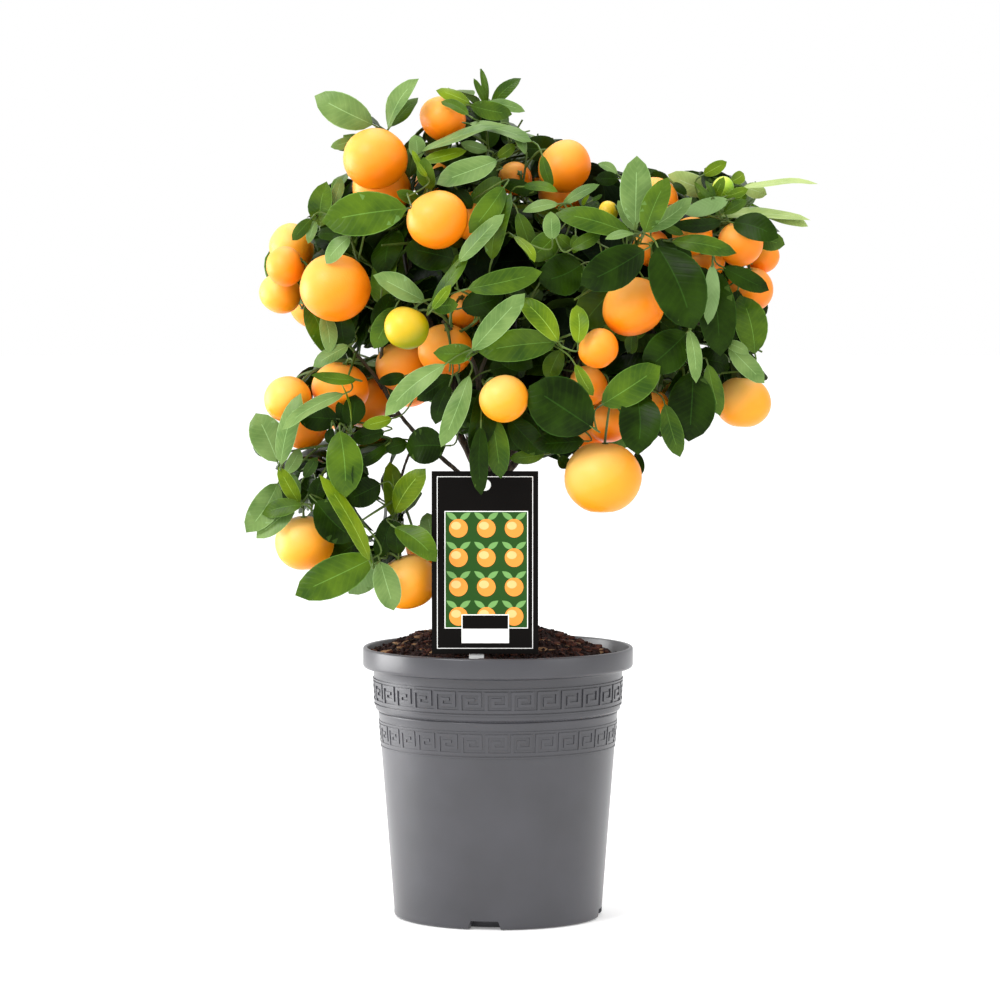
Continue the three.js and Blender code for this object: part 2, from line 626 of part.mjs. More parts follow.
function seededLeaf(mass, index, twig, k, count) {
  const random = randomStream(index, twig.number, 80 + k);
  const t = mix(...LEAF.span, k / count);
  const root = onTwig(twig.curve, t);
  const tangent = twig.curve.getTangent(t);
  const side = new THREE.Vector3(0, 0, 1).cross(tangent).normalize();
  const outward = root.clone().sub(CROWN_CENTRE).normalize();
  const turn = k * GOLDEN_ANGLE + twig.number;
  for (let attempt = 0; attempt < LEAF.tries; attempt += 1) {
    const cone = THREE.MathUtils.degToRad(LEAF.cone * mix(...LEAF.coneSpread, random()));
    const around = side.clone().applyAxisAngle(tangent, turn + attempt * 0.7 + random());
    const heading = tangent.clone().multiplyScalar(Math.cos(cone)).addScaledVector(around, Math.sin(cone));
    const length = mix(LEAF.longest, LEAF.shortest, 0.7 * random() + 0.06 * attempt);
    const width = length * LEAF.widthToLength * mix(...LEAF.widthSpread, random());
    const tip = root.clone().addScaledVector(heading, length);
    const frame = leafFrame(root, tip, outward, 0.3, random);
    if (tryLeaf(mass, { root, width, length, ...frame }, mass.room * LEAF.reach)) {
      return;
    }
  }
}

function growLeadingLeaves(mass, index) {
  for (const twig of mass.twigs) {
    (twig.leaves ?? []).forEach((row, k) => leadingLeaf(mass, index, twig, row, k));
  }
}

// A shoot whose list of leading leaves is empty stays a bare spire.
function fillLeaves(mass, index) {
  for (const twig of mass.twigs.filter(({ leaves }) => leaves?.length !== 0)) {
    const count = twig.leaves ? LEAVES_A_SHOOT : LEAVES_A_SEEDED_SHOOT;
    for (let k = 0; k < count; k += 1) {
      seededLeaf(mass, index, twig, k, count);
    }
  }
}

function makeFoliage() {
  const masses = Object.entries(MASSES).map(([name, mass]) => ({ ...mass, name, hub: vec(mass.hub) }));
  masses.forEach((mass) => {
    mass.fruit = mass.fruit.map(([x, y, z, width]) => ({
      centre: new THREE.Vector3(x, y, z),
      radius: width / 2,
      up: new THREE.Vector3(0, 0, 1),
    }));
    mass.fruit.forEach((fruit) => {
      if (touches(fruitSolid(fruit, CLEARANCE), () => true)) {
        throw new Error(`${mass.name}: the fruit at ${fruit.centre.toArray()} touches its neighbour`);
      }
      put(mass.name, 'fruit', fruitSolid(fruit));
      placed.at(-1).fruit = fruit;
    });
  });
  masses.forEach((mass, index) => {
    const place = masses.slice(0, index).filter(({ bough }) => bough === mass.bough).length;
    put(mass.name, 'stem', growStem(mass, index, place));
  });
  masses.forEach(growShoots);
  masses.forEach((mass) => mass.fruit.forEach((fruit) => hangFruit(mass, fruit)));
  masses.forEach(growLeadingLeaves);
  masses.forEach(fillLeaves);
  return masses;
}

function joinMass(mass) {
  const own = placed.filter((piece) => piece.owner === mass.name).map((piece) => piece.solid);
  return largestBody(own.reduce((all, piece) => all.add(piece))).asOriginal().simplify(FINEST);
}

// ---------------------------------------------------------------- pot, soil and label

const polar = (radius, height) => new THREE.Vector2(radius, height);

// The body's outer wall, a straight cone from the foot to the collar's foot.
function wallRadius(height) {
  const t = (height - POT.footRound) / (POT.stepHeight - POT.step - POT.footRound);
  return mix(POT.footRadius, POT.collarBottom - POT.step, t);
}

// Inside face of the pot, from the floor up to the rim, moved inwards by a clearance.
function insideProfile(clearance) {
  const channelRoof = POT.channelDepth + POT.floor + clearance;
  const discFloor = POT.floor + clearance;
  const shelf = POT.height - POT.lipHeight - POT.lipRound;
  const foot = wallRadius(channelRoof) - POT.wall - clearance;
  return [
    polar(0, discFloor),
    polar(POT.discRadius - POT.wall - clearance, discFloor),
    polar(POT.discRadius - 1 - clearance, channelRoof),
    polar(foot, channelRoof),
    polar(POT.collarBottom - POT.step - POT.wall - clearance, POT.stepHeight - POT.step + clearance),
    polar(POT.collarBottom - POT.wall - clearance, POT.stepHeight + clearance),
    polar(POT.collarTop - POT.wall - clearance, shelf + clearance),
    polar(POT.rimRadius - POT.rimWidth - clearance, shelf + POT.lipRound + clearance),
  ];
}

function potSolid() {
  const under = POT.height - POT.lipHeight;
  const ringInside = POT.footRadius - POT.footRound / 2 - POT.ringWidth;
  const outside = [
    polar(0, 0),
    polar(POT.discRadius, 0),
    polar(POT.discRadius + 1, POT.channelDepth),
    polar(ringInside + 2, POT.channelDepth),
    polar(ringInside + 3.5, 0),
    polar(POT.footRadius - POT.footRound / 2, 0),
    polar(POT.footRadius - POT.footRound / 8, POT.footRound / 3),
    polar(wallRadius(POT.footRound), POT.footRound),
    polar(wallRadius(POT.stepHeight - POT.step), POT.stepHeight - POT.step),
    polar(POT.collarBottom, POT.stepHeight),
    polar(POT.collarTop, under - POT.lipRound),
    polar(POT.rimRadius - POT.lipRound, under - POT.lipRound),
    polar(POT.rimRadius, under),
    polar(POT.rimRadius, POT.height - 1.5),
    polar(POT.rimRadius - 1, POT.height),
    polar(POT.rimRadius - POT.rimWidth, POT.height),
  ];
  const profile = [...outside, ...insideProfile(0).reverse()];
  const shell = new THREE.LatheGeometry(profile, POT.segments).rotateX(Math.PI / 2);
  return Array.from({ length: POT.notches }, (_, k) => notchCutter(k))
    .reduce((pot, cutter) => pot.subtract(cutter), solidOf(shell));
}

// One drain notch: a trapezoid pushed through the foot ring, up to the drain channel's roof.
function notchCutter(k) {
  const [top, bottom] = [POT.notchTop / 2, POT.notchBottom / 2];
  const outline = new THREE.Shape([
    polar(-bottom, -1), polar(bottom, -1), polar(top, POT.channelDepth), polar(-top, POT.channelDepth),
  ]);
  const reach = POT.ringWidth + 8;
  const cutter = new THREE.ExtrudeGeometry(outline, { depth: reach, bevelEnabled: false });
  cutter.rotateX(Math.PI / 2).translate(0, -(POT.discRadius + 3), 0);
  cutter.rotateZ(THREE.MathUtils.degToRad(POT.notchTurn) + k * Math.PI * 2 / POT.notches);
  return solidOf(cutter);
}

// Potting soil: it fills the pot and heaps up round the trunk's flat seat.
function soilSolid() {
  const sides = insideProfile(GAP);
  const rings = [polar(72, mix(SOIL.edge, SOIL.crown, 0.42)), polar(46, mix(SOIL.edge, SOIL.crown, 0.82)),
    polar(SOIL.seat, SOIL.crown), polar(0, SOIL.crown)];
  const profile = [...sides, polar(sides.at(-1).x, SOIL.edge), ...rings];
  const heap = new THREE.LatheGeometry(profile, POT.segments).rotateX(Math.PI / 2);
  const random = randomStream(900);
  const lumps = Array.from({ length: 2 * POT.segments }, () => (random() - 0.5) * 2 * SOIL.lumps);
  const place = heap.attributes.position;
  for (let i = 0; i < place.count; i += 1) {
    const ring = i % profile.length - sides.length;
    const segment = Math.floor(i / profile.length) % POT.segments;
    if (ring === 1 || ring === 2) {
      const fall = SOIL.fallToRight * place.getX(i) / POT.rimRadius;
      place.setZ(i, place.getZ(i) + lumps[2 * segment + ring - 1] - fall);
    }
  }
  return solidOf(heap).subtract(stakeSolid(GAP));
}

function stakeSolid(clearance = 0) {
  const height = STAKE.top - STAKE.bottom;
  const bar = new THREE.BoxGeometry(
    STAKE.width + 2 * clearance, STAKE.thickness + 2 * clearance, height + 2 * clearance,
  );
  const middle = LABEL.front + LABEL.thickness + GAP + STAKE.thickness / 2;
  return solidOf(bar.translate(STAKE.middle, middle, STAKE.bottom + height / 2));
}

function labelSolid() {
  const card = new THREE.Shape([
    polar(0, 0), polar(LABEL.width, 0), polar(LABEL.width, LABEL.height), polar(0, LABEL.height),
  ]);
  card.holes.push(new THREE.Path().absarc(
    LABEL.holeFromLeft, LABEL.height - LABEL.holeFromTop, LABEL.holeRadius, 0, 2 * Math.PI, true,
  ));
  const sheet = new THREE.ExtrudeGeometry(card, { depth: LABEL.thickness, bevelEnabled: false, curveSegments: 10 });
  return solidOf(sheet.rotateX(Math.PI / 2).translate(LABEL.left, LABEL.front + LABEL.thickness, LABEL.bottom));
}

// ---------------------------------------------------------------- the whole plant

const material = (color, roughness) => new THREE.MeshStandardMaterial({ color, roughness, metalness: 0 });

const calamondin = new THREE.Group();

function addPiece(name, solid, look) {
  const mesh = new THREE.Mesh(geometryOf(solid), look);
  mesh.name = name;
  calamondin.add(mesh);
}

addPiece('pot', potSolid(), material('#5d5f63', 0.55));
addPiece('soil', soilSolid(), material('#3a2418', 1));
addPiece('plant_label', labelSolid(), material('#15110f', 0.4));
addPiece('label_stake', stakeSolid(), material('#d8d8d2', 0.5));
put('plant_label', 'label', labelSolid());
put('label_stake', 'label', stakeSolid());

for (const [name, solid] of Object.entries(makeLimbs())) {
  addPiece(name, solid, material('#4a3a2a', 0.85));
}

for (const mass of makeFoliage()) {
  addPiece(mass.name, joinMass(mass), material('#2f6a1f', 0.45));
}

export default calamondin;
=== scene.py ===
# %% [markdown]
# # A calamondin orange tree in its nursery pot
# The plant is dressed around a imported CAD frame, in metres, with +Z up and the middle of the pot's
# underside at the origin. This first cell loads that frame.

import math

import bmesh
import bpy
import numpy as np
from mathutils import Matrix, Quaternion, Vector, noise
from mathutils.bvhtree import BVHTree


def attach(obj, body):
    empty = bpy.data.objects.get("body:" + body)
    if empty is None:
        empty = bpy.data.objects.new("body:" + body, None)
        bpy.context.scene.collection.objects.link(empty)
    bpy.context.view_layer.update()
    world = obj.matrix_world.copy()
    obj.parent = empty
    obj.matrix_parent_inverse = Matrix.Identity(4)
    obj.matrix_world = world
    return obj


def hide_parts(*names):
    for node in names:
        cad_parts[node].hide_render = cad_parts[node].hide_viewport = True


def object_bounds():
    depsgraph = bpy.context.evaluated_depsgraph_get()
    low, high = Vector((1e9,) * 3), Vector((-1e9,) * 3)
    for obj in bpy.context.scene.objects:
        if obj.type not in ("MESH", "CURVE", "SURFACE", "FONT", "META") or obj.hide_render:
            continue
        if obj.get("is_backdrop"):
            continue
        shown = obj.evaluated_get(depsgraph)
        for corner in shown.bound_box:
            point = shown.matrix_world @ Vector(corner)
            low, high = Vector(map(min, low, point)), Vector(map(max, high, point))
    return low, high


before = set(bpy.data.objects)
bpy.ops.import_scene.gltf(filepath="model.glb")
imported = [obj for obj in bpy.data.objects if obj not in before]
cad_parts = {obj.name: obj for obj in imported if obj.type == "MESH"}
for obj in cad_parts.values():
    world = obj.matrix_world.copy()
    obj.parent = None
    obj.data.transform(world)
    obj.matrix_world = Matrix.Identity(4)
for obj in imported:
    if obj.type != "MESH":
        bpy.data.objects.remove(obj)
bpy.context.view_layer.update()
MM = 0.001  # the tables below are in millimetres

# %% [markdown]
# ## The camera
# A catalogue picture of a plant is taken from a few metres away with a long lens, so that the pot's rim
# shows as a thin ellipse and nothing is stretched. Such a view can be set by trial, or worked out from
# the distance, the height and the size in the frame. Numbers are easier to correct, so they are named.

# %% Camera
CAMERA_DISTANCE = 3.0  # metres, from the pot's middle
CAMERA_HEIGHT = 0.479
CAMERA_ASIDE = 0.0014
CAMERA_DOWN = 3.55  # degrees below level
FOCAL_LENGTH, SENSOR_WIDTH = 154.0, 36  # mm
FARTHEST = 60  # metres, past the floor's far edge


def new_object(name, data):
    """An object in the scene, at the origin."""
    made = bpy.data.objects.new(name, data)
    bpy.context.scene.collection.objects.link(made)
    return made


camera_data = bpy.data.cameras.new("catalogue_camera")
camera_data.lens = FOCAL_LENGTH
camera_data.sensor_width = SENSOR_WIDTH
camera_data.clip_end = FARTHEST
camera = new_object("catalogue_camera", camera_data)
camera.location = (CAMERA_ASIDE, -CAMERA_DISTANCE, CAMERA_HEIGHT)
camera.rotation_euler = (math.radians(90 - CAMERA_DOWN), 0, 0)
bpy.context.scene.camera = camera
print("camera at", [round(x, 4) for x in camera.location])

# %% [markdown]
# ## Helpers for colours, nodes, meshes and pieces
# Paint charts and colour pickers give sRGB values, while shaders count in linear light, so one function
# does that sum for every colour. Another adds a shader node with its settings and links in one line. The
# others end a bmesh as a mesh, and make a mesh a piece of the plant, which rides on the frame's only body.

# %% Helpers
def linear(colour):
    """'#RRGGBB' as linear red, green, blue and alpha."""
    channels = [int(colour[k : k + 2], 16) / 255 for k in (1, 3, 5)]
    return [c / 12.92 if c <= 0.04045 else ((c + 0.055) / 1.055) ** 2.4 for c in channels] + [1]


def feed(made, links):
    """Links outputs to a node's inputs. A whole node stands for its first output."""
    for name, source in links.items():
        output = source.outputs[0] if isinstance(source, bpy.types.Node) else source
        made.id_data.links.new(output, made.inputs[name])


def node(tree, kind, settings=None, links=None):
    """Adds a node. A setting is an input, a property or a colour ramp's stops, and links feed inputs."""
    made = tree.nodes.new("ShaderNode" + kind)
    for name, value in (settings or {}).items():
        if name == "stops":
            elements = made.color_ramp.elements
            for k, (place, colour) in enumerate(value):
                stop = elements[k] if k < 2 else elements.new(place)
                stop.position, stop.color = place, linear(colour)
        elif isinstance(name, int) or name in made.inputs:
            made.inputs[name].default_value = value
        else:
            setattr(made, name, value)
    feed(made, links or {})
    return made


def new_material(name, **principled):
    """A material with one Principled shader, and the object's own coordinates for its patterns."""
    made = bpy.data.materials.new(name)
    made.use_nodes = True
    tree = made.node_tree
    tree.nodes.clear()
    shader = node(tree, "BsdfPrincipled", {k.replace("_", " "): v for k, v in principled.items()})
    node(tree, "OutputMaterial", links={"Surface": shader})
    return made, tree, shader, node(tree, "TexCoord").outputs["Object"]


def mesh_of(shape, name, sharp_from=None):
    """Ends a bmesh as a mesh, shaded smooth but for edges sharper than an angle in degrees, if it has one."""
    mesh = bpy.data.meshes.new(name)
    shape.to_mesh(mesh)
    shape.free()
    if sharp_from:
        mesh.shade_smooth()
        mesh.set_sharp_from_angle(angle=math.radians(sharp_from))
    return mesh


def add_piece(name, mesh, nodes=(), materials=()):
    """Links a mesh as a piece that rides on the plant's one body."""
    piece = new_object(name, mesh)
    for look in materials:
        mesh.materials.append(look)
    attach(piece, "root")
    if nodes:
        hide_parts(*nodes)
    print(f"{name}: {len(mesh.polygons)} faces")


# %% [markdown]
# ## Pot plastic
# Nursery pots are injection moulded from recycled polypropylene, coloured through in a flat grey. The
# skin is matte with a fine grain from the mould, so it shows a broad soft sheen and no sharp reflection.
# The grain is about half a millimetre; faint smears come from handling and watering.

# %% Pot plastic
GRAIN, SMEARS = 0.5, 45  # mm
pot_plastic, tree, shader, coords = new_material("moulded_polypropylene_grey", IOR=1.49, Metallic=0)
smears = node(tree, "TexNoise", {"Scale": 1 / (SMEARS * MM), "Detail": 4}, {"Vector": coords})
greys = node(tree, "ValToRGB", {"stops": [(0.3, "#38383C"), (0.7, "#404045")]}, {0: smears})
rough = node(tree, "MapRange", {"To Min": 0.27, "To Max": 0.36}, {"Value": smears})
grain = node(tree, "TexNoise", {"Scale": 1 / (GRAIN * MM), "Detail": 2}, {"Vector": coords})
bump = node(tree, "Bump", {"Strength": 0.25, "Distance": 0.1 * MM}, {"Height": grain})
feed(shader, {"Base Color": greys, "Roughness": rough, "Normal": bump})

# %% [markdown]
# ## Potting soil
# A citrus is potted in peat with composted bark and a little coir fibre. Damp peat is nearly black
# brown, bark chips are redder, and fibres are pale straw. Each gets its own plain earth colour with
# mottling at the size of its crumbs, and no gloss at all.

# %% Soil, bark chips and fibres
def earthy(name, stops, crumb):
    """A dull, crumbly material mottled between its colours; crumb is the mottling's size in mm."""
    made, tree, shader, coords = new_material(name, Roughness=0.95, IOR=1.4)
    specks = node(tree, "TexNoise", {"Scale": 1 / (crumb * MM), "Detail": 6, "Roughness": 0.65},
                  {"Vector": coords})
    browns = node(tree, "ValToRGB", {"stops": stops}, {0: specks})
    bump = node(tree, "Bump", {"Strength": 0.9, "Distance": 0.6 * MM}, {"Height": specks})
    feed(shader, {"Base Color": browns, "Normal": bump})
    return made


peat = earthy("damp_peat", [(0.35, "#150A08"), (0.55, "#291410"), (0.7, "#42241B")], 3)
bark_chip = earthy("composted_bark", [(0.3, "#26120D"), (0.55, "#4E291D"), (0.75, "#70452F")], 2.5)
coir = earthy("coir_fibre", [(0.3, "#7A5A3D"), (0.7, "#A98A66")], 2)

# %% [markdown]
# ## Bark and young wood
# A calamondin's trunk has thin grey brown bark with fine lengthwise cracks. Its youngest twigs stay
# green and smooth for a year and then dull to olive. So there are two kinds of material: bark, with noise
# that is stretched along the limb, and young wood, which is nearly plain.

# %% Bark and young wood
CRACK_WIDTH, CRACK_STRETCH = 1.6, 0.16  # mm, and how much slower the pattern changes upwards
bark, tree, shader, coords = new_material("citrus_bark", Roughness=0.85, IOR=1.45)
stretched = node(tree, "Mapping", {"Scale": (1, 1, CRACK_STRETCH)}, {"Vector": coords})
cracks = node(tree, "TexNoise", {"Scale": 1 / (CRACK_WIDTH * MM), "Detail": 5, "Roughness": 0.6},
              {"Vector": stretched})
browns = node(tree, "ValToRGB", {"stops": [(0.3, "#18130E"), (0.5, "#382F24"), (0.72, "#5C5140")]},
              {0: cracks})
bump = node(tree, "Bump", {"Strength": 0.8, "Distance": 0.5 * MM}, {"Height": cracks})
feed(shader, {"Base Color": browns, "Normal": bump})


def young_wood(name, dark, light):
    """Young twigs and stalks: smooth, and mottled over about 14 mm."""
    made, tree, shader, coords = new_material(name, Roughness=0.5, IOR=1.45)
    mottling = node(tree, "TexNoise", {"Scale": 1 / (14 * MM), "Detail": 3}, {"Vector": coords})
    greens = node(tree, "ValToRGB", {"stops": [(0.35, dark), (0.65, light)]}, {0: mottling})
    bump = node(tree, "Bump", {"Strength": 0.3, "Distance": 0.2 * MM}, {"Height": mottling})
    feed(shader, {"Base Color": greens, "Normal": bump})
    return made


woody_twig = young_wood("woody_twig", "#231E12", "#40391F")
green_twig = young_wood("green_twig", "#34480F", "#566F26")

# %% [markdown]
# ## Leaves
# A citrus leaf is leathery, with a waxed, darker upper face, a paler dull underside and a light midrib.
# One material could switch by the side that faces the camera, but then the colour would not stay on the
# mesh. Here each face of the blade has a material of its own. Mid is the leaf's own green, and young is
# fresh growth that also carries a painted backlit glow. Deep is its own dark green with painted shade,
# inner is painted shade for leaves deep in the crown, and sage and pale are painted sheen. The rims share
# the paler midrib material as a painted highlight. The side veins, about 4 mm apart, are a faint pattern
# along the blade's own UV map.

# %% Leaf materials
VEINS = 11  # side veins on each half of a blade
VEIN_SLANT = 4.2  # how far they lean towards the tip
VEIN_SHADE, VEIN_LIGHT = 0.1, 1.5  # how much of the paler colour a vein has, and how much lighter that is
MOTTLING = 20  # mm


def vein_height(tree):
    """0 between the side veins and 1 on them, from the blade's UV map: U across, V along."""
    place = node(tree, "UVMap", {"uv_map": "blade"})
    parts = node(tree, "SeparateXYZ", links={0: place})
    centred = node(tree, "Math", {"operation": "SUBTRACT", 1: 0.5}, {0: parts})
    aside = node(tree, "Math", {"operation": "ABSOLUTE"}, {0: centred})
    lean = node(tree, "Math", {"operation": "MULTIPLY", 1: -VEIN_SLANT * math.tau}, {0: aside})
    turns = {"operation": "MULTIPLY_ADD", 1: VEINS * math.tau}
    phase = node(tree, "Math", turns, {0: parts.outputs[1], 2: lean})
    wave = node(tree, "Math", {"operation": "COSINE"}, {0: phase})
    return node(tree, "MapRange", {"From Min": 0.35, "From Max": 1.0}, {"Value": wave})


def leaf_face(name, dark, light, wax, roughness, relief):
    """One face of a blade: two greens mottled over a few centimetres, and faintly paler side veins."""
    made, tree, shader, coords = new_material(name, IOR=1.42, Roughness=roughness, Specular_IOR_Level=wax)
    mottling = node(tree, "TexNoise", {"Scale": 1 / (MOTTLING * MM), "Detail": 3}, {"Vector": coords})
    greens = node(tree, "ValToRGB", {"stops": [(0.34, dark), (0.66, light)]}, {0: mottling})
    height = vein_height(tree)
    share = node(tree, "Math", {"operation": "MULTIPLY", 1: VEIN_SHADE}, {0: height})
    vein = [min(1, VEIN_LIGHT * c) for c in linear(light)[:3]] + [1]
    mixed = node(tree, "Mix", {"data_type": "RGBA", 7: vein}, {0: share, 6: greens})
    bump = node(tree, "Bump", {"Strength": relief, "Distance": 0.12 * MM}, {"Height": height})
    feed(shader, {"Base Color": mixed.outputs[2], "Normal": bump})
    return made


LEAF_LOOKS = {}
# Mid is the leaf's own green, and young is fresh growth with a painted backlit glow. Deep is its own dark
# green with painted shade, inner is painted shade for leaves deep in the crown, and sage and pale are painted
# sheen. The midrib colours also paint the rims' highlight.
for green, upper, midrib_and_rim, under, wax, gloss in (  # wax: how strong the reflection is, 0.5 on plain plastic
    ("inner", ("#040D02", "#0D1E05"), ("#0E1E06", "#16280A"), ("#182A0C", "#263A14"), 0.08, 0.34),
    ("deep", ("#101F02", "#233A05"), ("#1E380C", "#2C4A12"), ("#2C4016", "#40581F"), 0.09, 0.3),
    ("mid", ("#2A4608", "#4E6A0F"), ("#4C7024", "#648834"), ("#48662A", "#5E7F38"), 0.2, 0.33),
    ("sage", ("#506F32", "#738E4C"), ("#7C9D5C", "#91B072"), ("#66844A", "#7D9A60"), 0.28, 0.38),
    ("young", ("#466408", "#738A10"), ("#86A63C", "#9CBA50"), ("#628024", "#7E9A3A"), 0.2, 0.36),
    ("pale", ("#879E52", "#A6B86E"), ("#AABF86", "#BCCD9A"), ("#8EA66A", "#A2B880"), 0.28, 0.42),
):
    LEAF_LOOKS[green] = [leaf_face("waxed_leaf_" + green, *upper, wax, gloss, 0.5),
                         leaf_face("midrib_and_rim_highlight_" + green, *midrib_and_rim, wax, 0.45, 0),
                         leaf_face("leaf_underside_" + green, *under, wax, 0.6, 0.4)]
print(len(LEAF_LOOKS), "greens of leaf, each with three faces")

# %% [markdown]
# ## Fruit peel
# A ripe calamondin has a thin, tight, deep orange peel dotted with oil glands about a millimetre apart.
# Light enters the peel and comes out warmer, so the shader has some subsurface scattering. Each stage of
# ripeness is a material: ripe, golden, turning and green. Each peel goes from painted shade on one side to
# painted light on the side that faces the key light, by an attribute on the mesh.

# %% Peel
OIL_GLANDS, PATCHES = 1.1, 14  # mm
GLOW_DEPTH = 4  # mm that light travels in the peel


def peel(name, shade, body, painted_light, glow):
    """Citrus peel from painted shade to painted light towards the key light, with pits for its oil glands."""
    made, tree, shader, coords = new_material(
        name, IOR=1.42, Roughness=0.4, Specular_IOR_Level=0.35, Subsurface_Weight=0.3, Subsurface_Radius=glow,
        Subsurface_Scale=GLOW_DEPTH * MM)
    # The attribute is painted light: how far each point of the peel faces the key light.
    side = node(tree, "Attribute", {"attribute_name": "key_light_side"})
    patches = node(tree, "TexNoise", {"Scale": 1 / (PATCHES * MM), "Detail": 3}, {"Vector": coords})
    mottled = node(tree, "Math", {"operation": "MULTIPLY_ADD", 1: 0.25}, {0: patches, 2: side.outputs["Fac"]})
    place = node(tree, "MapRange", {"From Min": -0.5, "From Max": 1.1}, {"Value": mottled})
    oranges = node(tree, "ValToRGB", {"stops": [(0.15, shade), (0.5, body), (0.92, painted_light)]}, {0: place})
    pits = node(tree, "TexVoronoi", {"Scale": 1 / (OIL_GLANDS * MM)}, {"Vector": coords})
    bump = node(tree, "Bump", {"Strength": 0.35, "Distance": 0.15 * MM}, {"Height": pits})
    feed(shader, {"Base Color": oranges, "Normal": bump})
    return made


# Each peel's colours: painted shade, its body colour, and painted light on the side towards the key light.
PEELS = {
    "ripe": peel("peel_ripe_orange", "#EC7C00", "#FB8E0E", "#FBAE4C", (1.0, 0.5, 0.06)),
    "golden": peel("peel_golden_orange", "#F49410", "#FBA326", "#FBC266", (1.0, 0.6, 0.1)),
    "turning": peel("peel_turning_yellow", "#848600", "#C0A200", "#E2BE3C", (1.0, 0.8, 0.1)),
    "green": peel("peel_unripe_green", "#6C9A14", "#9CC02C", "#D2E05C", (0.5, 0.8, 0.15)),
}

# %% [markdown]
# ## The pot
# The pot is one injection moulding: a tapered body, a collar for gripping, a rolled lip, and a foot ring
# with drain notches. Half of its outline, spun round the axis, gives all of that with round edges. Its
# raised meander band could be a bump in the material, but a moulded band catches light along its edge,
# so the faces of the wall that lie in the pattern are pushed out by half a millimetre or so.

# %% Pot: sizes, in millimetres
RIM_RADIUS = 95
COLLAR_TOP = (87.7, 175)  # radius and height just under the lip
COLLAR_FOOT = (86.2, 146.5)
BODY_TOP = (84.2, 144.5)  # under the step
BODY_FOOT = (73.3, 4.5)
FLOOR = 2.6
KEYS = 30  # meander units round the pot
KEY = ("#######.", "#.....#.", "#.###.#.", "#.#...#.", "#.#####.", "#.......", "########")
KEY_COLUMNS = len(KEY[0])
KEY_ROW = 2.1  # high
BORDER = 1.0  # a border line, and the gap beside it
BANDS = ((149.6, 0.8), (119.9, 0.45))  # each band's lowest line and how far it stands out
SEGMENTS = KEYS * KEY_COLUMNS
NOTCHES, NOTCH_TURN = 4, -7.4  # how many, and where the first is, in degrees
NOTCH_WIDTH, NOTCH_HEIGHT, NOTCH_INSIDE = 21, 6, 64  # the last is the radius where a notch ends
CHANNEL = [(0, 0), (60, 0), (61, NOTCH_HEIGHT), (65, NOTCH_HEIGHT), (66.5, 0.4), (67.2, 0)]  # under the floor
INNER_WALL = [(91.7, 179.5), (89.6, 176.1), (85.4, 174.2), (84.0, 147), (82, 144), (71.4, 9), (58, 9)]
CLOSE = 0.01  # nearer points are merged
SHARP_POT_EDGE = 32  # degrees


# %% Pot: the outline and its spin
def wall_radius(height):
    """Outer radius of the wall at a height, on the collar or on the body."""
    (r0, z0), (r1, z1) = (COLLAR_FOOT, COLLAR_TOP) if height >= COLLAR_FOOT[1] else (BODY_FOOT, BODY_TOP)
    return r0 + (r1 - r0) * (height - z0) / (z1 - z0)


def band_heights(low):
    """Heights of the lines that divide a band into its border lines, gaps and rows."""
    heights = [low, low + BORDER, low + 2 * BORDER]
    heights += [heights[-1] + KEY_ROW * (k + 1) for k in range(len(KEY))]
    return heights + [heights[-1] + BORDER, heights[-1] + 2 * BORDER]


def arc(radius, height, size, start, stop, steps=4):
    """A quarter round of the outline, about (radius, height), from one angle to another."""
    turns = [math.radians(start + (stop - start) * k / steps) for k in range(steps + 1)]
    return [(radius + size * math.cos(a), height + size * math.sin(a)) for a in turns]


def spun(outline, steps):
    """A bmesh of an outline, a row of points in mm, that is spun round the upright axis."""
    shape = bmesh.new()
    corners = [shape.verts.new((x * MM, y * MM, z * MM)) for x, y, z in outline]
    edges = [shape.edges.new(pair) for pair in zip(corners, corners[1:])]
    bmesh.ops.spin(shape, geom=corners + edges, cent=(0, 0, 0), axis=(0, 0, 1), angle=math.tau, steps=steps,
                   use_merge=True)
    bmesh.ops.remove_doubles(shape, verts=shape.verts, dist=CLOSE * MM)
    bmesh.ops.recalc_face_normals(shape, faces=shape.faces)
    return shape


outline = CHANNEL + arc(71.2, 2.2, 2.2, -90, 0)
outline += [(wall_radius(z), z) for z in (5, 7, 40, 80, *band_heights(BANDS[1][0]), 143)]
outline += arc(83.4, 144.1, 0.9, -10, 60) + [(85.2, 145.7)] + arc(85.4, 147.1, 0.8, -60, 0)  # the step
outline += [(wall_radius(z), z) for z in (148.5, *band_heights(BANDS[0][0]), 172.9)]
outline += arc(89.4, 173.5, 1.6, 180, 90, 3) + [(91.6, 175.3)]  # under the lip
outline += arc(92.4, 177.9, 2.6, -60, 0) + arc(93.4, 188.4, 1.6, 0, 90) + [(92.2, 189.6), (91.8, 188.6)]
outline += INNER_WALL + [(57.4, FLOOR), (0, FLOOR)]
pot_shape = spun([(0, -r, z) for r, z in outline], SEGMENTS)
print("pot spun:", len(pot_shape.faces), "faces")


# %% Pot: the meander, pushed out of the wall
def in_meander(face, low):
    """True where a wall face belongs to the key pattern or its border lines."""
    centre = face.calc_center_median() / MM
    lines = band_heights(low)
    upright = abs(face.normal.z) <= 0.3
    outside = centre.xy.length >= wall_radius(centre.z) - 1
    if not (upright and outside and lines[0] < centre.z < lines[-1]):
        return False
    row = sum(centre.z > line for line in lines) - 3
    if row < 0 or row >= len(KEY):
        return row in (-2, len(KEY) + 1)
    column = int(math.atan2(centre.y, centre.x) / math.tau * SEGMENTS + SEGMENTS) % KEY_COLUMNS
    return KEY[len(KEY) - 1 - row][column] == "#"


def moved_by(pushed):
    """The points that an extrusion made."""
    return [v for v in pushed["geom"] if isinstance(v, bmesh.types.BMVert)]


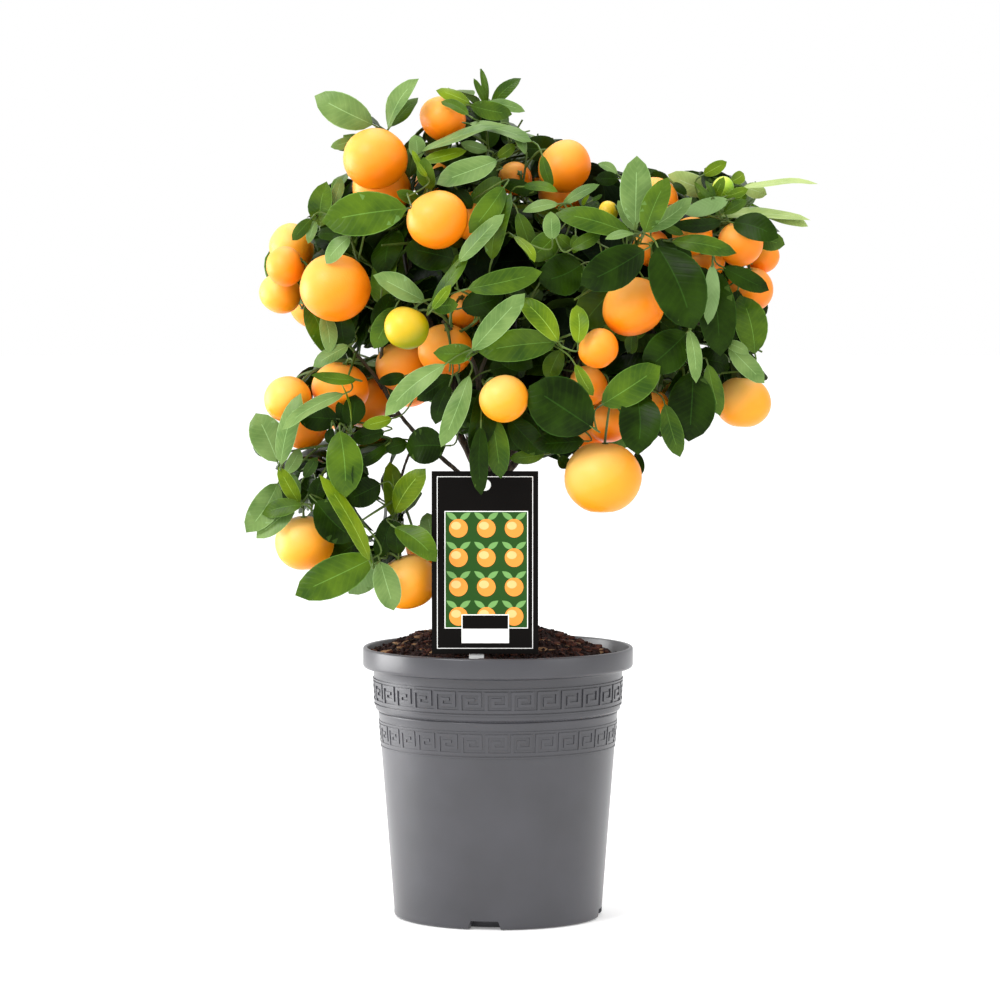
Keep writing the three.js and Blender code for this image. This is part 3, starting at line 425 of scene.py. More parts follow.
for low, relief in BANDS:
    raised = [face for face in pot_shape.faces if in_meander(face, low)]
    pushed = bmesh.ops.extrude_face_region(pot_shape, geom=raised)
    bmesh.ops.delete(pot_shape, geom=raised, context="FACES")
    for vertex in moved_by(pushed):
        out = Vector((vertex.co.x, vertex.co.y, 0)).normalized()
        vertex.co += out * relief * MM
    print(f"meander at {low} mm: {len(raised)} faces raised by {relief} mm")

# %% [markdown]
# The four drain notches are cut through the foot ring. A Boolean would do it, but here the notch's faces
# can be made by lifting the ring's own faces to the drain channel's roof, which keeps the mesh closed.

# %% Pot: drain notches
HALF_NOTCH = math.degrees(NOTCH_WIDTH / 2 / BODY_FOOT[0])


def in_notch(point):
    """True for a point of the foot ring that lies under one of the notches."""
    turn = math.degrees(math.atan2(point.x, -point.y)) - NOTCH_TURN
    aside = (turn + 180 / NOTCHES) % (360 / NOTCHES) - 180 / NOTCHES
    return abs(aside) < HALF_NOTCH and point.xy.length > NOTCH_INSIDE * MM and point.z < NOTCH_HEIGHT * MM


for vertex in pot_shape.verts:
    if in_notch(vertex.co):
        vertex.co.z = NOTCH_HEIGHT * MM
bmesh.ops.dissolve_degenerate(pot_shape, edges=pot_shape.edges, dist=CLOSE * MM)
bmesh.ops.recalc_face_normals(pot_shape, faces=pot_shape.faces)
add_piece("pot_with_meander", mesh_of(pot_shape, "pot_moulding", SHARP_POT_EDGE), ["pot"],
          [pot_plastic])

# %% [markdown]
# ## The soil
# Soil in a pot is a heap of crumbs with a rough top. A spun heap gives the bulk, and noise at three
# sizes roughens it: lumps, crumbs and grains. Loose bark chips and fibres then lie on top of it. Each
# of those is a small body of a few faces, joined by kind from arrays.

# %% Soil heap
SOIL_TOP = 203  # mm, at the trunk
SOIL_EDGE = 181
SOIL_RADIUS = 91.2
SOIL_RINGS, SOIL_STEPS = 64, 200
LUMPS, CRUMBS, GRAINS = (17, 2.6), (5, 1.5), (2.1, 1.1)  # mm across and high
CALM, CALM_REACH = 6, 10  # mm from the middle where the heap is still smooth, and until it is rough
SETTLED = 0.6  # mm
UNDER_SOIL = [(0, 3.2), (57, 3.2), (57.6, 9.6), (71, 9.6), (81.4, 145), (83.4, 148), (84.8, 174.4),
              (88.9, 176.5), (91.2, 179.9)]  # along the pot's inner wall


def soil_height(x, y):
    """Height of the soil's surface in mm: a low mound that falls a little to the right."""
    reach = min(math.hypot(x, y) / SOIL_RADIUS, 1)
    mound = SOIL_EDGE + (SOIL_TOP - SOIL_EDGE) * (1 - max(0, (reach - 0.2) / 0.8) ** 1.5)
    lumps = noise.noise((x / LUMPS[0], y / LUMPS[0], 3)) * LUMPS[1]
    grains = abs(noise.noise((x / GRAINS[0], y / GRAINS[0], 4))) * GRAINS[1]
    crumbs = noise.noise((x / CRUMBS[0], y / CRUMBS[0], 9)) * CRUMBS[1] + grains
    calm = min(1, max(0, (math.hypot(x, y) - CALM) / CALM_REACH))
    return mound + (lumps + crumbs) * calm - 3 * x / RIM_RADIUS * calm - SETTLED


surface = [(SOIL_RADIUS * (1 - k / SOIL_RINGS), SOIL_EDGE) for k in range(SOIL_RINGS + 1)]
heap = spun([(r, 0, z) for r, z in UNDER_SOIL + surface], SOIL_STEPS)
for vertex in heap.verts:
    if vertex.co.z > (SOIL_EDGE - 0.5) * MM:
        vertex.co.z = soil_height(vertex.co.x / MM, vertex.co.y / MM) * MM
soil_mesh = mesh_of(heap, "soil_heap")
soil_mesh.shade_smooth()
add_piece("soil_heap", soil_mesh, ["soil"], [peat])


# %% Loose crumbs, chips and fibres on the soil
def joined(name, vertices, faces, smooth=True):
    """One mesh from many small bodies: lists of vertex arrays in mm, and of faces counted within each."""
    starts = np.cumsum([0] + [len(v) for v in vertices[:-1]])
    mesh = bpy.data.meshes.new(name)
    every = [[int(start + i) for i in face] for start, body in zip(starts, faces) for face in body]
    mesh.from_pydata(np.concatenate(vertices) * MM, [], every)
    if smooth:
        mesh.shade_smooth()
    return mesh


def template(make, **settings):
    """Vertices and faces of a bmesh operator's shape."""
    shape = bmesh.new()
    make(shape, **settings)
    vertices = np.array([v.co for v in shape.verts])
    faces = [[v.index for v in face.verts] for face in shape.faces]
    shape.free()
    return vertices, faces


crumb_shape, crumb_faces = template(bmesh.ops.create_icosphere, subdivisions=1, radius=1.0)
chance = np.random.default_rng(11)
LABEL_PLACE = (-48, 30, -82, -73)  # x and y, in mm, of the space that the plant label keeps free
TRUNK_FOOT, TRUNK_SPACE = (-3, 8), 14
CRUMB_ROUGHNESS, CHIP_TILT = 0.14, 0.35
STREWN = (  # what, look, how many, sizes in mm, flatness, and how far each stands out of the soil
    ("soil_crumbs", peat, 2200, (0.8, 2.6), (0.6, 0.9), 0.3),
    ("bark_chips", bark_chip, 420, (1.6, 5.2), (0.2, 0.45), 0.5),
    ("coir_fibres", coir, 130, (2.5, 7.5), (0.06, 0.1), 1.0),
)


def scatter(count, sizes, flatness, lift):
    """Small bodies strewn over the soil: round ones are turned every way, and flat ones lie nearly flat."""
    bodies = []
    while len(bodies) < count:
        angle, reach = chance.uniform(0, math.tau), SOIL_RADIUS * math.sqrt(chance.uniform(0, 0.94))
        x, y = reach * math.cos(angle), reach * math.sin(angle)
        size = chance.uniform(*sizes) * np.array([1, chance.uniform(0.45, 0.8), chance.uniform(*flatness)])
        any_turn = Quaternion(chance.normal(size=4)).normalized().to_matrix()
        heading_turn = Matrix.Rotation(chance.uniform(0, math.tau), 3, "Z")
        lying = heading_turn @ Matrix.Rotation(chance.normal() * CHIP_TILT, 3, "X")
        spin = np.array(lying if flatness[1] < 0.5 else any_turn)
        rough = crumb_shape * (1 + chance.normal(size=(len(crumb_shape), 1)) * CRUMB_ROUGHNESS)
        blocked = LABEL_PLACE[0] < x < LABEL_PLACE[1] and LABEL_PLACE[2] < y < LABEL_PLACE[3]
        if blocked or math.dist((x, y), TRUNK_FOOT) < TRUNK_SPACE:
            continue
        bodies.append(rough * size @ spin.T + [x, y, soil_height(x, y) + lift * size[2]])
    return bodies


for name, look, *how in STREWN:
    bodies = scatter(*how)
    mesh = joined(name, bodies, [crumb_faces] * len(bodies), smooth=False)
    add_piece(name, mesh, (), [look])

# %% [markdown]
# ## The plant label
# A plant label is a sheet of printed polystyrene on a holder that is pushed into the soil. Its own print
# belongs to somebody, so this one carries a plain design: a panel of round fruit and leaves in rows,
# inside thin white lines, with no words. Print lies flat, but each colour here is a very thin layer of
# its own, so that it stays sharp in close views and after export.

# %% Label: materials
UNEVENNESS = 9  # mm


def printed(name, colour, roughness=0.32):
    """Printed plastic, with a trace of unevenness in its colour and its gloss."""
    made, tree, shader, coords = new_material(name, IOR=1.5, Specular_IOR_Level=0.06)
    faint = node(tree, "TexNoise", {"Scale": 1 / (UNEVENNESS * MM), "Detail": 2}, {"Vector": coords})
    low, high = linear(colour), [min(1, c * 1.12) for c in linear(colour)[:3]] + [1]
    mixed = node(tree, "Mix", {"data_type": "RGBA", 6: low, 7: high}, {0: faint})
    rough = node(tree, "MapRange", {"To Min": roughness - 0.05, "To Max": roughness + 0.08}, {"Value": faint})
    feed(shader, {"Base Color": mixed.outputs[2], "Roughness": rough})
    return made


PRINT = {name: printed("print_" + name, colour) for name, colour in {
    "black": "#080605", "white": "#E9E9E6", "leaf_green": "#26481C", "light_green": "#6E9A58",
    "orange": "#EE8F3E", "light_orange": "#F6B878"}.items()}
holder_plastic = printed("moulded_grey_white_holder", "#C9CACA", 0.45)

# %% Label: sizes, in millimetres
CARD = (-45.4, 192, 73, 125.5)  # x, z, width and height
CARD_FRONT, CARD_THICKNESS = -78, 0.8
FRAME_MARGIN, FRAME_LINE = 3.6, 0.45
HOLE = (-8.8, 308, 4)  # x, z and radius
EYELET_INSET, EYELET_THICKNESS = 0.2, 0.4
PANEL = (-36.6, 209.5, 57.2, 80.7)
PANEL_EDGE = 0.6
PLATE = (-25, 199.4, 32.6, 19.8)
PLATE_EDGE = 0.7
ROWS, COLUMNS = 4, 3  # of printed fruit
LAYER = 0.06  # so thin that its edge doesn't show


# %% Label: flat shapes
def rectangle(x, z, width, height):
    """Corners of an upright rectangle from its lower left corner."""
    return [(x, z), (x + width, z), (x + width, z + height), (x, z + height)]


def inset(box, edge):
    """The rectangle that an edge of even width leaves free."""
    x, z, width, height = box
    return x + edge, z + edge, width - 2 * edge, height - 2 * edge


def outlined(x, z, width, height, line):
    """Four bars that frame a rectangle."""
    return [rectangle(x, z, width, line), rectangle(x, z + height - line, width, line),
            rectangle(x, z + line, line, height - 2 * line),
            rectangle(x + width - line, z + line, line, height - 2 * line)]


def disc(x, z, radius, corners=28, squash=1.0):
    """Corners of a round or oval spot."""
    turns = [math.tau * k / corners for k in range(corners)]
    return [(x + radius * math.cos(a), z + radius * squash * math.sin(a)) for a in turns]


def leaf_spot(x, z, length, turn, corners=10):
    """Corners of a pointed oval that lies at an angle."""
    side = [(length * (k / corners - 0.5), 0.2 * length * math.sin(math.pi * k / corners))
            for k in range(corners)]
    loop = side + [(-a, -b) for a, b in side]
    c, s = math.cos(turn), math.sin(turn)
    return [(x + a * c - b * s, z + a * s + b * c) for a, b in loop]


def thicken(sheet, thickness):
    """Gives flat faces a thickness towards the back."""
    pushed = bmesh.ops.extrude_face_region(sheet, geom=list(sheet.faces))
    bmesh.ops.translate(sheet, verts=moved_by(pushed), vec=(0, thickness * MM, 0))
    bmesh.ops.recalc_face_normals(sheet, faces=sheet.faces)


def flat_layer(name, look, shapes, front, thickness=LAYER):
    """A piece of flat shapes. Each shape is a list of (x, z) corners in order."""
    sheet = bmesh.new()
    for corners in shapes:
        sheet.faces.new([sheet.verts.new((x * MM, front * MM, z * MM)) for x, z in corners])
    thicken(sheet, thickness)
    add_piece(name, mesh_of(sheet, name), (), [look])


# %% [markdown]
# The card's outline and its hole are filled as one face set and given their thickness. Behind the hole
# lies a pale eyelet. Then come the printed layers, each one a little in front of the last.

# %% Label: the card
card = bmesh.new()
for loop in (rectangle(*CARD), disc(*HOLE)):
    vertices = [card.verts.new((x * MM, CARD_FRONT * MM, z * MM)) for x, z in loop]
    for a, b in zip(vertices, vertices[1:] + vertices[:1]):
        card.edges.new((a, b))
bmesh.ops.triangle_fill(card, edges=card.edges, use_beauty=True)
bmesh.ops.dissolve_limit(card, angle_limit=0.01, verts=card.verts, edges=card.edges)
thicken(card, CARD_THICKNESS)
card_mesh = mesh_of(card, "plant_label_card")
add_piece("plant_label_card", card_mesh, ["plant_label"], [PRINT["black"]])
flat_layer("label_eyelet", PRINT["white"], [disc(*HOLE)], CARD_FRONT + EYELET_INSET, EYELET_THICKNESS)

# %% Label: a plain printed design
x, z, width, height = PANEL
spots = [(x + width * (column + 0.5) / COLUMNS, z + height * (row + 0.5) / ROWS)
         for row in range(ROWS) for column in range(COLUMNS)]
x, z, width, height = PLATE
band = (x + PLATE_EDGE, z + height / 2, width - 2 * PLATE_EDGE, height / 2 - PLATE_EDGE)
for name, ink, level, shapes in (
    ("label_frame_line", "white", 1,
     outlined(*inset(CARD, FRAME_MARGIN), FRAME_LINE) + outlined(*PANEL, PANEL_EDGE)),
    ("label_panel", "leaf_green", 1, [rectangle(*inset(PANEL, PANEL_EDGE))]),
    ("label_print_leaves", "light_green", 2,
     [leaf_spot(a + 4.4 * s, b + 6.4, 9.5, s * 0.6) for a, b in spots for s in (-1, 1)]),
    ("label_print_fruit", "orange", 3, [disc(a, b - 1.8, 6.4) for a, b in spots]),
    ("label_print_shine", "light_orange", 4, [disc(a - 1.6, b, 3.4, squash=0.8) for a, b in spots]),
    ("label_plate", "white", 5, [rectangle(*PLATE)]),
    ("label_plate_band", "black", 6, [rectangle(*band)]),
):
    flat_layer(name, PRINT[ink], shapes, CARD_FRONT - level * LAYER)

# %% Label: the holder
HOLDER = (-14.7, -76.15, 10.2, 1.5, 112, 226)  # middle x and y, width, thickness, lowest and highest point
HOLDER_BEVEL, SHARP_HOLDER_EDGE = 0.4, 40  # mm and degrees
x, y, width, thickness, low, high = HOLDER
holder = bmesh.new()
bmesh.ops.create_cube(holder, size=MM)
bmesh.ops.scale(holder, vec=(width, thickness, high - low), verts=holder.verts)
bmesh.ops.translate(holder, vec=Vector((x, y, (low + high) / 2)) * MM, verts=holder.verts)
bmesh.ops.bevel(holder, geom=holder.edges[:], offset=HOLDER_BEVEL * MM, segments=2, profile=0.5,
                affect="EDGES", material=-1)
holder_mesh = mesh_of(holder, "label_holder", SHARP_HOLDER_EDGE)
add_piece("label_holder", holder_mesh, ["label_stake"], [holder_plastic])

# %% [markdown]
# ## Trunk and boughs
# The limbs are smooth curves that taper, and that is just what a Bezier curve with a round bevel and a
# radius at each point gives. The numbers are the frame's own: where the trunk forks, how each bough
# bends, and how thick it is at both ends. Separate tubes would show a seam where they meet, so a voxel
# remesh grows them together, and then noise that is stretched along the limb gives the bark its relief.

# %% Limbs: sizes, in millimetres
FORK = (-8, 4, 296)
TRUNK_PATH = [(*TRUNK_FOOT, 203.3), (*TRUNK_FOOT, 237.3), (-10, 4, 262), FORK]
TRUNK_RADII = (6.6, 5.2)
FLARE, FLARE_REACH = 5.5, 9
BUTT_HEIGHTS, BUTT_RADIUS, BUTT_TAPER = (196, 199, 202, 204.5), 12.6, 1.4  # the foot, mostly in the soil
BOUGHS = {  # the bough it leaves and where along it, the curve's handles and tip, the radii at its ends
    "bough_left": (None, [(-30, -8, 316), (-62, -20, 338), (-80, -26, 372)], (1.8, 1.3)),
    "bough_low_left": (("bough_left", 0.8), [(-80, -27, 355), (-95, -31, 346), (-104, -34, 336)], (1.3, 1.1)),
    "bough_drooping": (("bough_left", 0.6), [(-61, -24, 333), (-67, -32, 316), (-69, -38, 300)], (1.3, 1.1)),
    "bough_upper_left": (None, [(-22, 2, 360), (-46, -8, 410), (-62, -14, 450)], (4.2, 2.6)),
    "bough_top": (None, [(-10, 6, 370), (-2, 4, 440), (-6, -4, 492)], (4.4, 2.6)),
    "bough_front": (None, [(-6, -18, 330), (-12, -36, 358), (-14, -46, 380)], (2.9, 2)),
    "bough_right": (None, [(20, -4, 352), (62, -24, 400), (86, -36, 430)], (4, 2.6)),
    "bough_far_right": (("bough_right", 0.6), [(78, -18, 402), (110, -20, 414), (130, -26, 418)], (2.3, 1.9)),
    "bough_low_right": (None, [(18, -14, 326), (40, -24, 350), (52, -30, 370)], (2.8, 2)),
    "bough_back_left": (None, [(-24, 30, 340), (-56, 48, 384), (-70, 54, 412)], (3.2, 2.1)),
    "bough_back": (None, [(-2, 30, 350), (8, 56, 400), (12, 64, 436)], (3.2, 2.1)),
    "bough_back_right": (None, [(30, 24, 344), (74, 42, 390), (94, 46, 422)], (3.2, 2.1)),
}


# %% Limbs: curves
def on_curve(points, t):
    """Point at t on a Bezier curve, by de Casteljau's repeated halving of its handles."""
    points = [Vector(p) for p in points]
    while len(points) > 1:
        points = [a.lerp(b, t) for a, b in zip(points, points[1:])]
    return points[0]


def heading(points, t):
    """Unit direction of the curve at t."""
    return (on_curve(points, min(1, t + 1e-4)) - on_curve(points, max(0, t - 1e-4))).normalized()


def stops_on(path, steps):
    """Points along the curve, from its start to its end."""
    return [on_curve(path, k / steps) for k in range(steps + 1)]


def length_of(path):
    """Length of the curve, over 200 short steps."""
    stops = stops_on(path, 200)
    return sum((b - a).length for a, b in zip(stops, stops[1:]))


def mix(a, b, t):
    return a + (b - a) * t


def bough_path(name):
    """The four handles of a bough's curve, from the fork or from the bough that it leaves."""
    parent, path = BOUGHS[name][:2]
    start = on_curve(bough_path(parent[0]), parent[1]) if parent else Vector(FORK)
    return [start] + [Vector(p) for p in path]


limb_curve = bpy.data.curves.new("limb_curves", "CURVE")
limb_curve.dimensions = "3D"
limb_curve.bevel_depth = MM
limb_curve.bevel_resolution = 3
limb_curve.use_fill_caps = True


def draw_limb(path, radius_at, steps=24):
    """One tapering limb as a poly spline of short steps."""
    spline = limb_curve.splines.new("POLY")
    spline.points.add(steps)
    for k, point in enumerate(spline.points):
        point.co = (*(on_curve(path, k / steps) * MM), 1)
        point.radius = radius_at(k / steps)


def settled_mesh(thing):
    """The mesh of an object after its modifiers; the object itself goes."""
    mesh = bpy.data.meshes.new_from_object(thing.evaluated_get(bpy.context.evaluated_depsgraph_get()))
    bpy.data.objects.remove(thing)
    return mesh


trunk_length = length_of(TRUNK_PATH)
draw_limb([(*TRUNK_FOOT, z) for z in BUTT_HEIGHTS], lambda t: BUTT_RADIUS - BUTT_TAPER * t)
draw_limb(TRUNK_PATH, lambda t: mix(*TRUNK_RADII, t) + FLARE * math.exp(-t * trunk_length / FLARE_REACH), 40)
for name, (*_, radii) in BOUGHS.items():
    draw_limb(bough_path(name), lambda t, ends=radii: mix(*ends, t))
tube_mesh = settled_mesh(new_object("limb_tubes", limb_curve))
print("trunk", round(trunk_length), "mm long, and", len(BOUGHS), "boughs")

# %% Limbs: grown together, with bark relief
BARK_VOXEL, SOFTENING = 0.75, 4  # mm, and rounds of smoothing
BARK_RELIEF = ((2.2, 11, 0.3), (6, 14, 0.35))  # cracks and ridges: width, length and depth in mm
limbs = new_object("limbs_grown", tube_mesh)
remesh = limbs.modifiers.new("grown_together", "REMESH")
remesh.mode, remesh.voxel_size = "VOXEL", BARK_VOXEL * MM
limbs.modifiers.new("softened", "SMOOTH").iterations = SOFTENING
limb_mesh = settled_mesh(limbs)
places = np.array([v.co for v in limb_mesh.vertices]) / MM
normals = np.array([v.normal for v in limb_mesh.vertices])
relief = np.array([sum(noise.noise((x / wide, y / wide, z / tall)) * deep for wide, tall, deep in BARK_RELIEF)
                   for x, y, z in places])
limb_mesh.vertices.foreach_set("co", ((places + normals * relief[:, None]) * MM).ravel())
limb_mesh.shade_smooth()
limb_mesh.name = "trunk_and_boughs"
add_piece("trunk_and_boughs", limb_mesh, ["trunk", *BOUGHS], [bark])

# %% [markdown]
# ## The plant's tables
# Each foliage mass is one branch system: a stem leaves a bough and reaches a hub, shoots leave the hub,
# and side twigs leave the shoots. The first table has every mass's hub, how far from it leaves may reach,
# the tips of its shoots, how many more shoots its rule adds and how long they are, and its fruit: the
# middle's x, y and z, the width, and the stage of ripeness where it isn't fully ripe.

# %% Foliage masses, in millimetres
MASSES = {  # bough, hub, room, how many more shoots and how long, tips of its shoots, fruit
    "foliage_top_left": ("bough_upper_left", (-58, -2, 500), 116, (2, 40),
        [(-77, -35, 551), (-115, -28, 499), (-84, 38, 514)], [(-84, -62, 531, 45), (-81, -20, 511, 41)]),
    "foliage_upper_front": ("bough_upper_left", (-50, -52, 486), 90, (2, 40),
        [(-47, -88, 524), (-58, -84, 500)], [(-41, -100, 489, 42), (-15, -58, 492, 36)]),
    "foliage_top": ("bough_top", (-8, -10, 530), 95, (2, 40),
        [(-8, -20, 570), (-12, -14, 594), (-8, -46, 554)], [(-38, -32, 559, 33)]),
    "foliage_top_right": ("bough_top", (12, -8, 500), 90, (2, 40),
        [(20, -27, 536), (6, -62, 503)], [(46, -34, 526, 38), (45, 3, 508, 34), (12, -16, 518, 24)]),
    "foliage_left": ("bough_upper_left", (-96, -30, 448), 85, (2, 40),
        [(-101, -62, 477), (-120, -46, 420), (-124, 12, 452)],
        [(-111, -80, 443, 49), (-147, -40, 457, 28), (-152, -12, 438, 30, "golden")]),
    "foliage_low_left": ("bough_left", (-100, -34, 398), 105, (2, 40),
        [(-103, -72, 381), (-149, -30, 340), (-126, 14, 390)],
        [(-109, -40, 373, 40), (-94, 1, 362, 38), (-145, -52, 366, 33, "golden"), (-134, -18, 343, 30)]),
    "foliage_inner_left": ("bough_left", (-78, -44, 414), 75, (1, 34),
        [(-84, -66, 428)], [(-66, -26, 388, 38)]),
    "foliage_hanging_left": ("bough_low_left", (-116, -40, 322), 85, (2, 40),
        [(-137, -50, 291), (-109, -66, 343), (-124, -22, 296)], [(-134, -45, 266, 41, "golden")]),
    "foliage_hanging_low": ("bough_drooping", (-70, -44, 286), 95, (2, 40),
        [(-82, -52, 254), (-70, -48, 282)], [(-62, -46, 239, 41, "golden"), (-49, -10, 262, 32)]),
    "foliage_low_front": ("bough_front", (-38, -72, 420), 95, (2, 40),
        [(-33, -90, 386), (-45, -102, 433)],
        [(-62, -104, 416, 31, "turning"), (-36, -60, 400, 38), (-22, -30, 428, 28)]),
    "foliage_front": ("bough_front", (8, -66, 418), 110, (2, 40),
        [(-16, -100, 446), (40, -100, 406), (-12, -94, 404)], [(68, -102, 402, 28)]),
    "foliage_low_centre": ("bough_front", (2, -62, 364), 90, (2, 40),
        [(-8, -92, 374), (60, -84, 352)], [(4, -104, 368, 34, "golden")]),
    "foliage_right_front": ("bough_right", (84, -60, 458), 114, (1, 42),
        [(96, -110, 477), (52, -98, 435)],
        [(92, -88, 430, 43), (107, -50, 501, 35), (106, -40, 470, 26), (75, -92, 495, 14, "turning")]),
    "foliage_right_top": ("bough_right", (146, -36, 480), 105, (1, 40),
        [(140, -62, 498), (172, -46, 499), (160, 8, 476)],
        [(166, -64, 473, 32), (133, -66, 478, 28), (144, -32, 460, 27), (184, -10, 464, 25),
         (175, -28, 441, 33), (154, -62, 511, 16, "green")]),
    "foliage_right": ("bough_far_right", (156, -34, 410), 90, (2, 40),
        [(158, -60, 444), (176, -34, 394), (141, -78, 407), (160, 8, 402)], [(170, -34, 363, 39, "golden")]),
    "foliage_low_far_right": ("bough_far_right", (126, -46, 388), 90, (2, 40),
        [(127, -74, 378), (94, -84, 374)], [(108, -52, 362, 21)]),
    "foliage_low_right": ("bough_low_right", (58, -46, 392), 95, (1, 34),
        [(76, -84, 363)],
        [(72, -76, 313, 53, "golden"), (76, -50, 350, 31), (62, -72, 376, 28), (63, -36, 338, 20)]),
    "foliage_back_top": ("bough_top", (-8, 30, 516), 100, (5, 46),
        [], [(-42, 52, 520, 40), (18, 70, 530, 36)]),
    "foliage_back_left": ("bough_back_left", (-98, 54, 446), 105, (5, 54),
        [], [(-130, 78, 432, 42), (-90, 106, 462, 38), (-146, 34, 470, 34, "golden")]),
    "foliage_back_low_left": ("bough_back_left", (-82, 56, 384), 95, (4, 46),
        [], [(-110, 76, 356, 40), (-64, 102, 372, 36)]),
    "foliage_back": ("bough_back", (12, 84, 470), 100, (5, 48),
        [], [(-14, 120, 474, 42), (44, 122, 452, 38)]),
    "foliage_back_low": ("bough_back", (12, 74, 406), 95, (4, 46),
        [], [(2, 110, 376, 40), (40, 94, 360, 34)]),
    "foliage_back_right": ("bough_back_right", (118, 50, 452), 105, (5, 54),
        [], [(144, 82, 442, 42), (110, 96, 474, 36), (164, 34, 424, 38)]),
    "foliage_back_low_right": ("bough_back_right", (96, 50, 388), 95, (4, 46),
        [], [(92, 92, 366, 42), (132, 54, 360, 36)]),
}

# %% [markdown]
# The second table lists the leaves that lead the eye, as they appear to the camera. Every row gives the
# leaf's foot and its tip, across and up, on the upright plane through the pot's middle; its width; how
# many degrees it is turned about its midrib, where 0 shows the whole upper face and 180 the underside;
# how deep its foot lies; and its green. Depth runs from the camera to the back, with 0 at the pot's
# middle. All other leaves come from a seeded rule, because a list of a thousand would teach nothing.

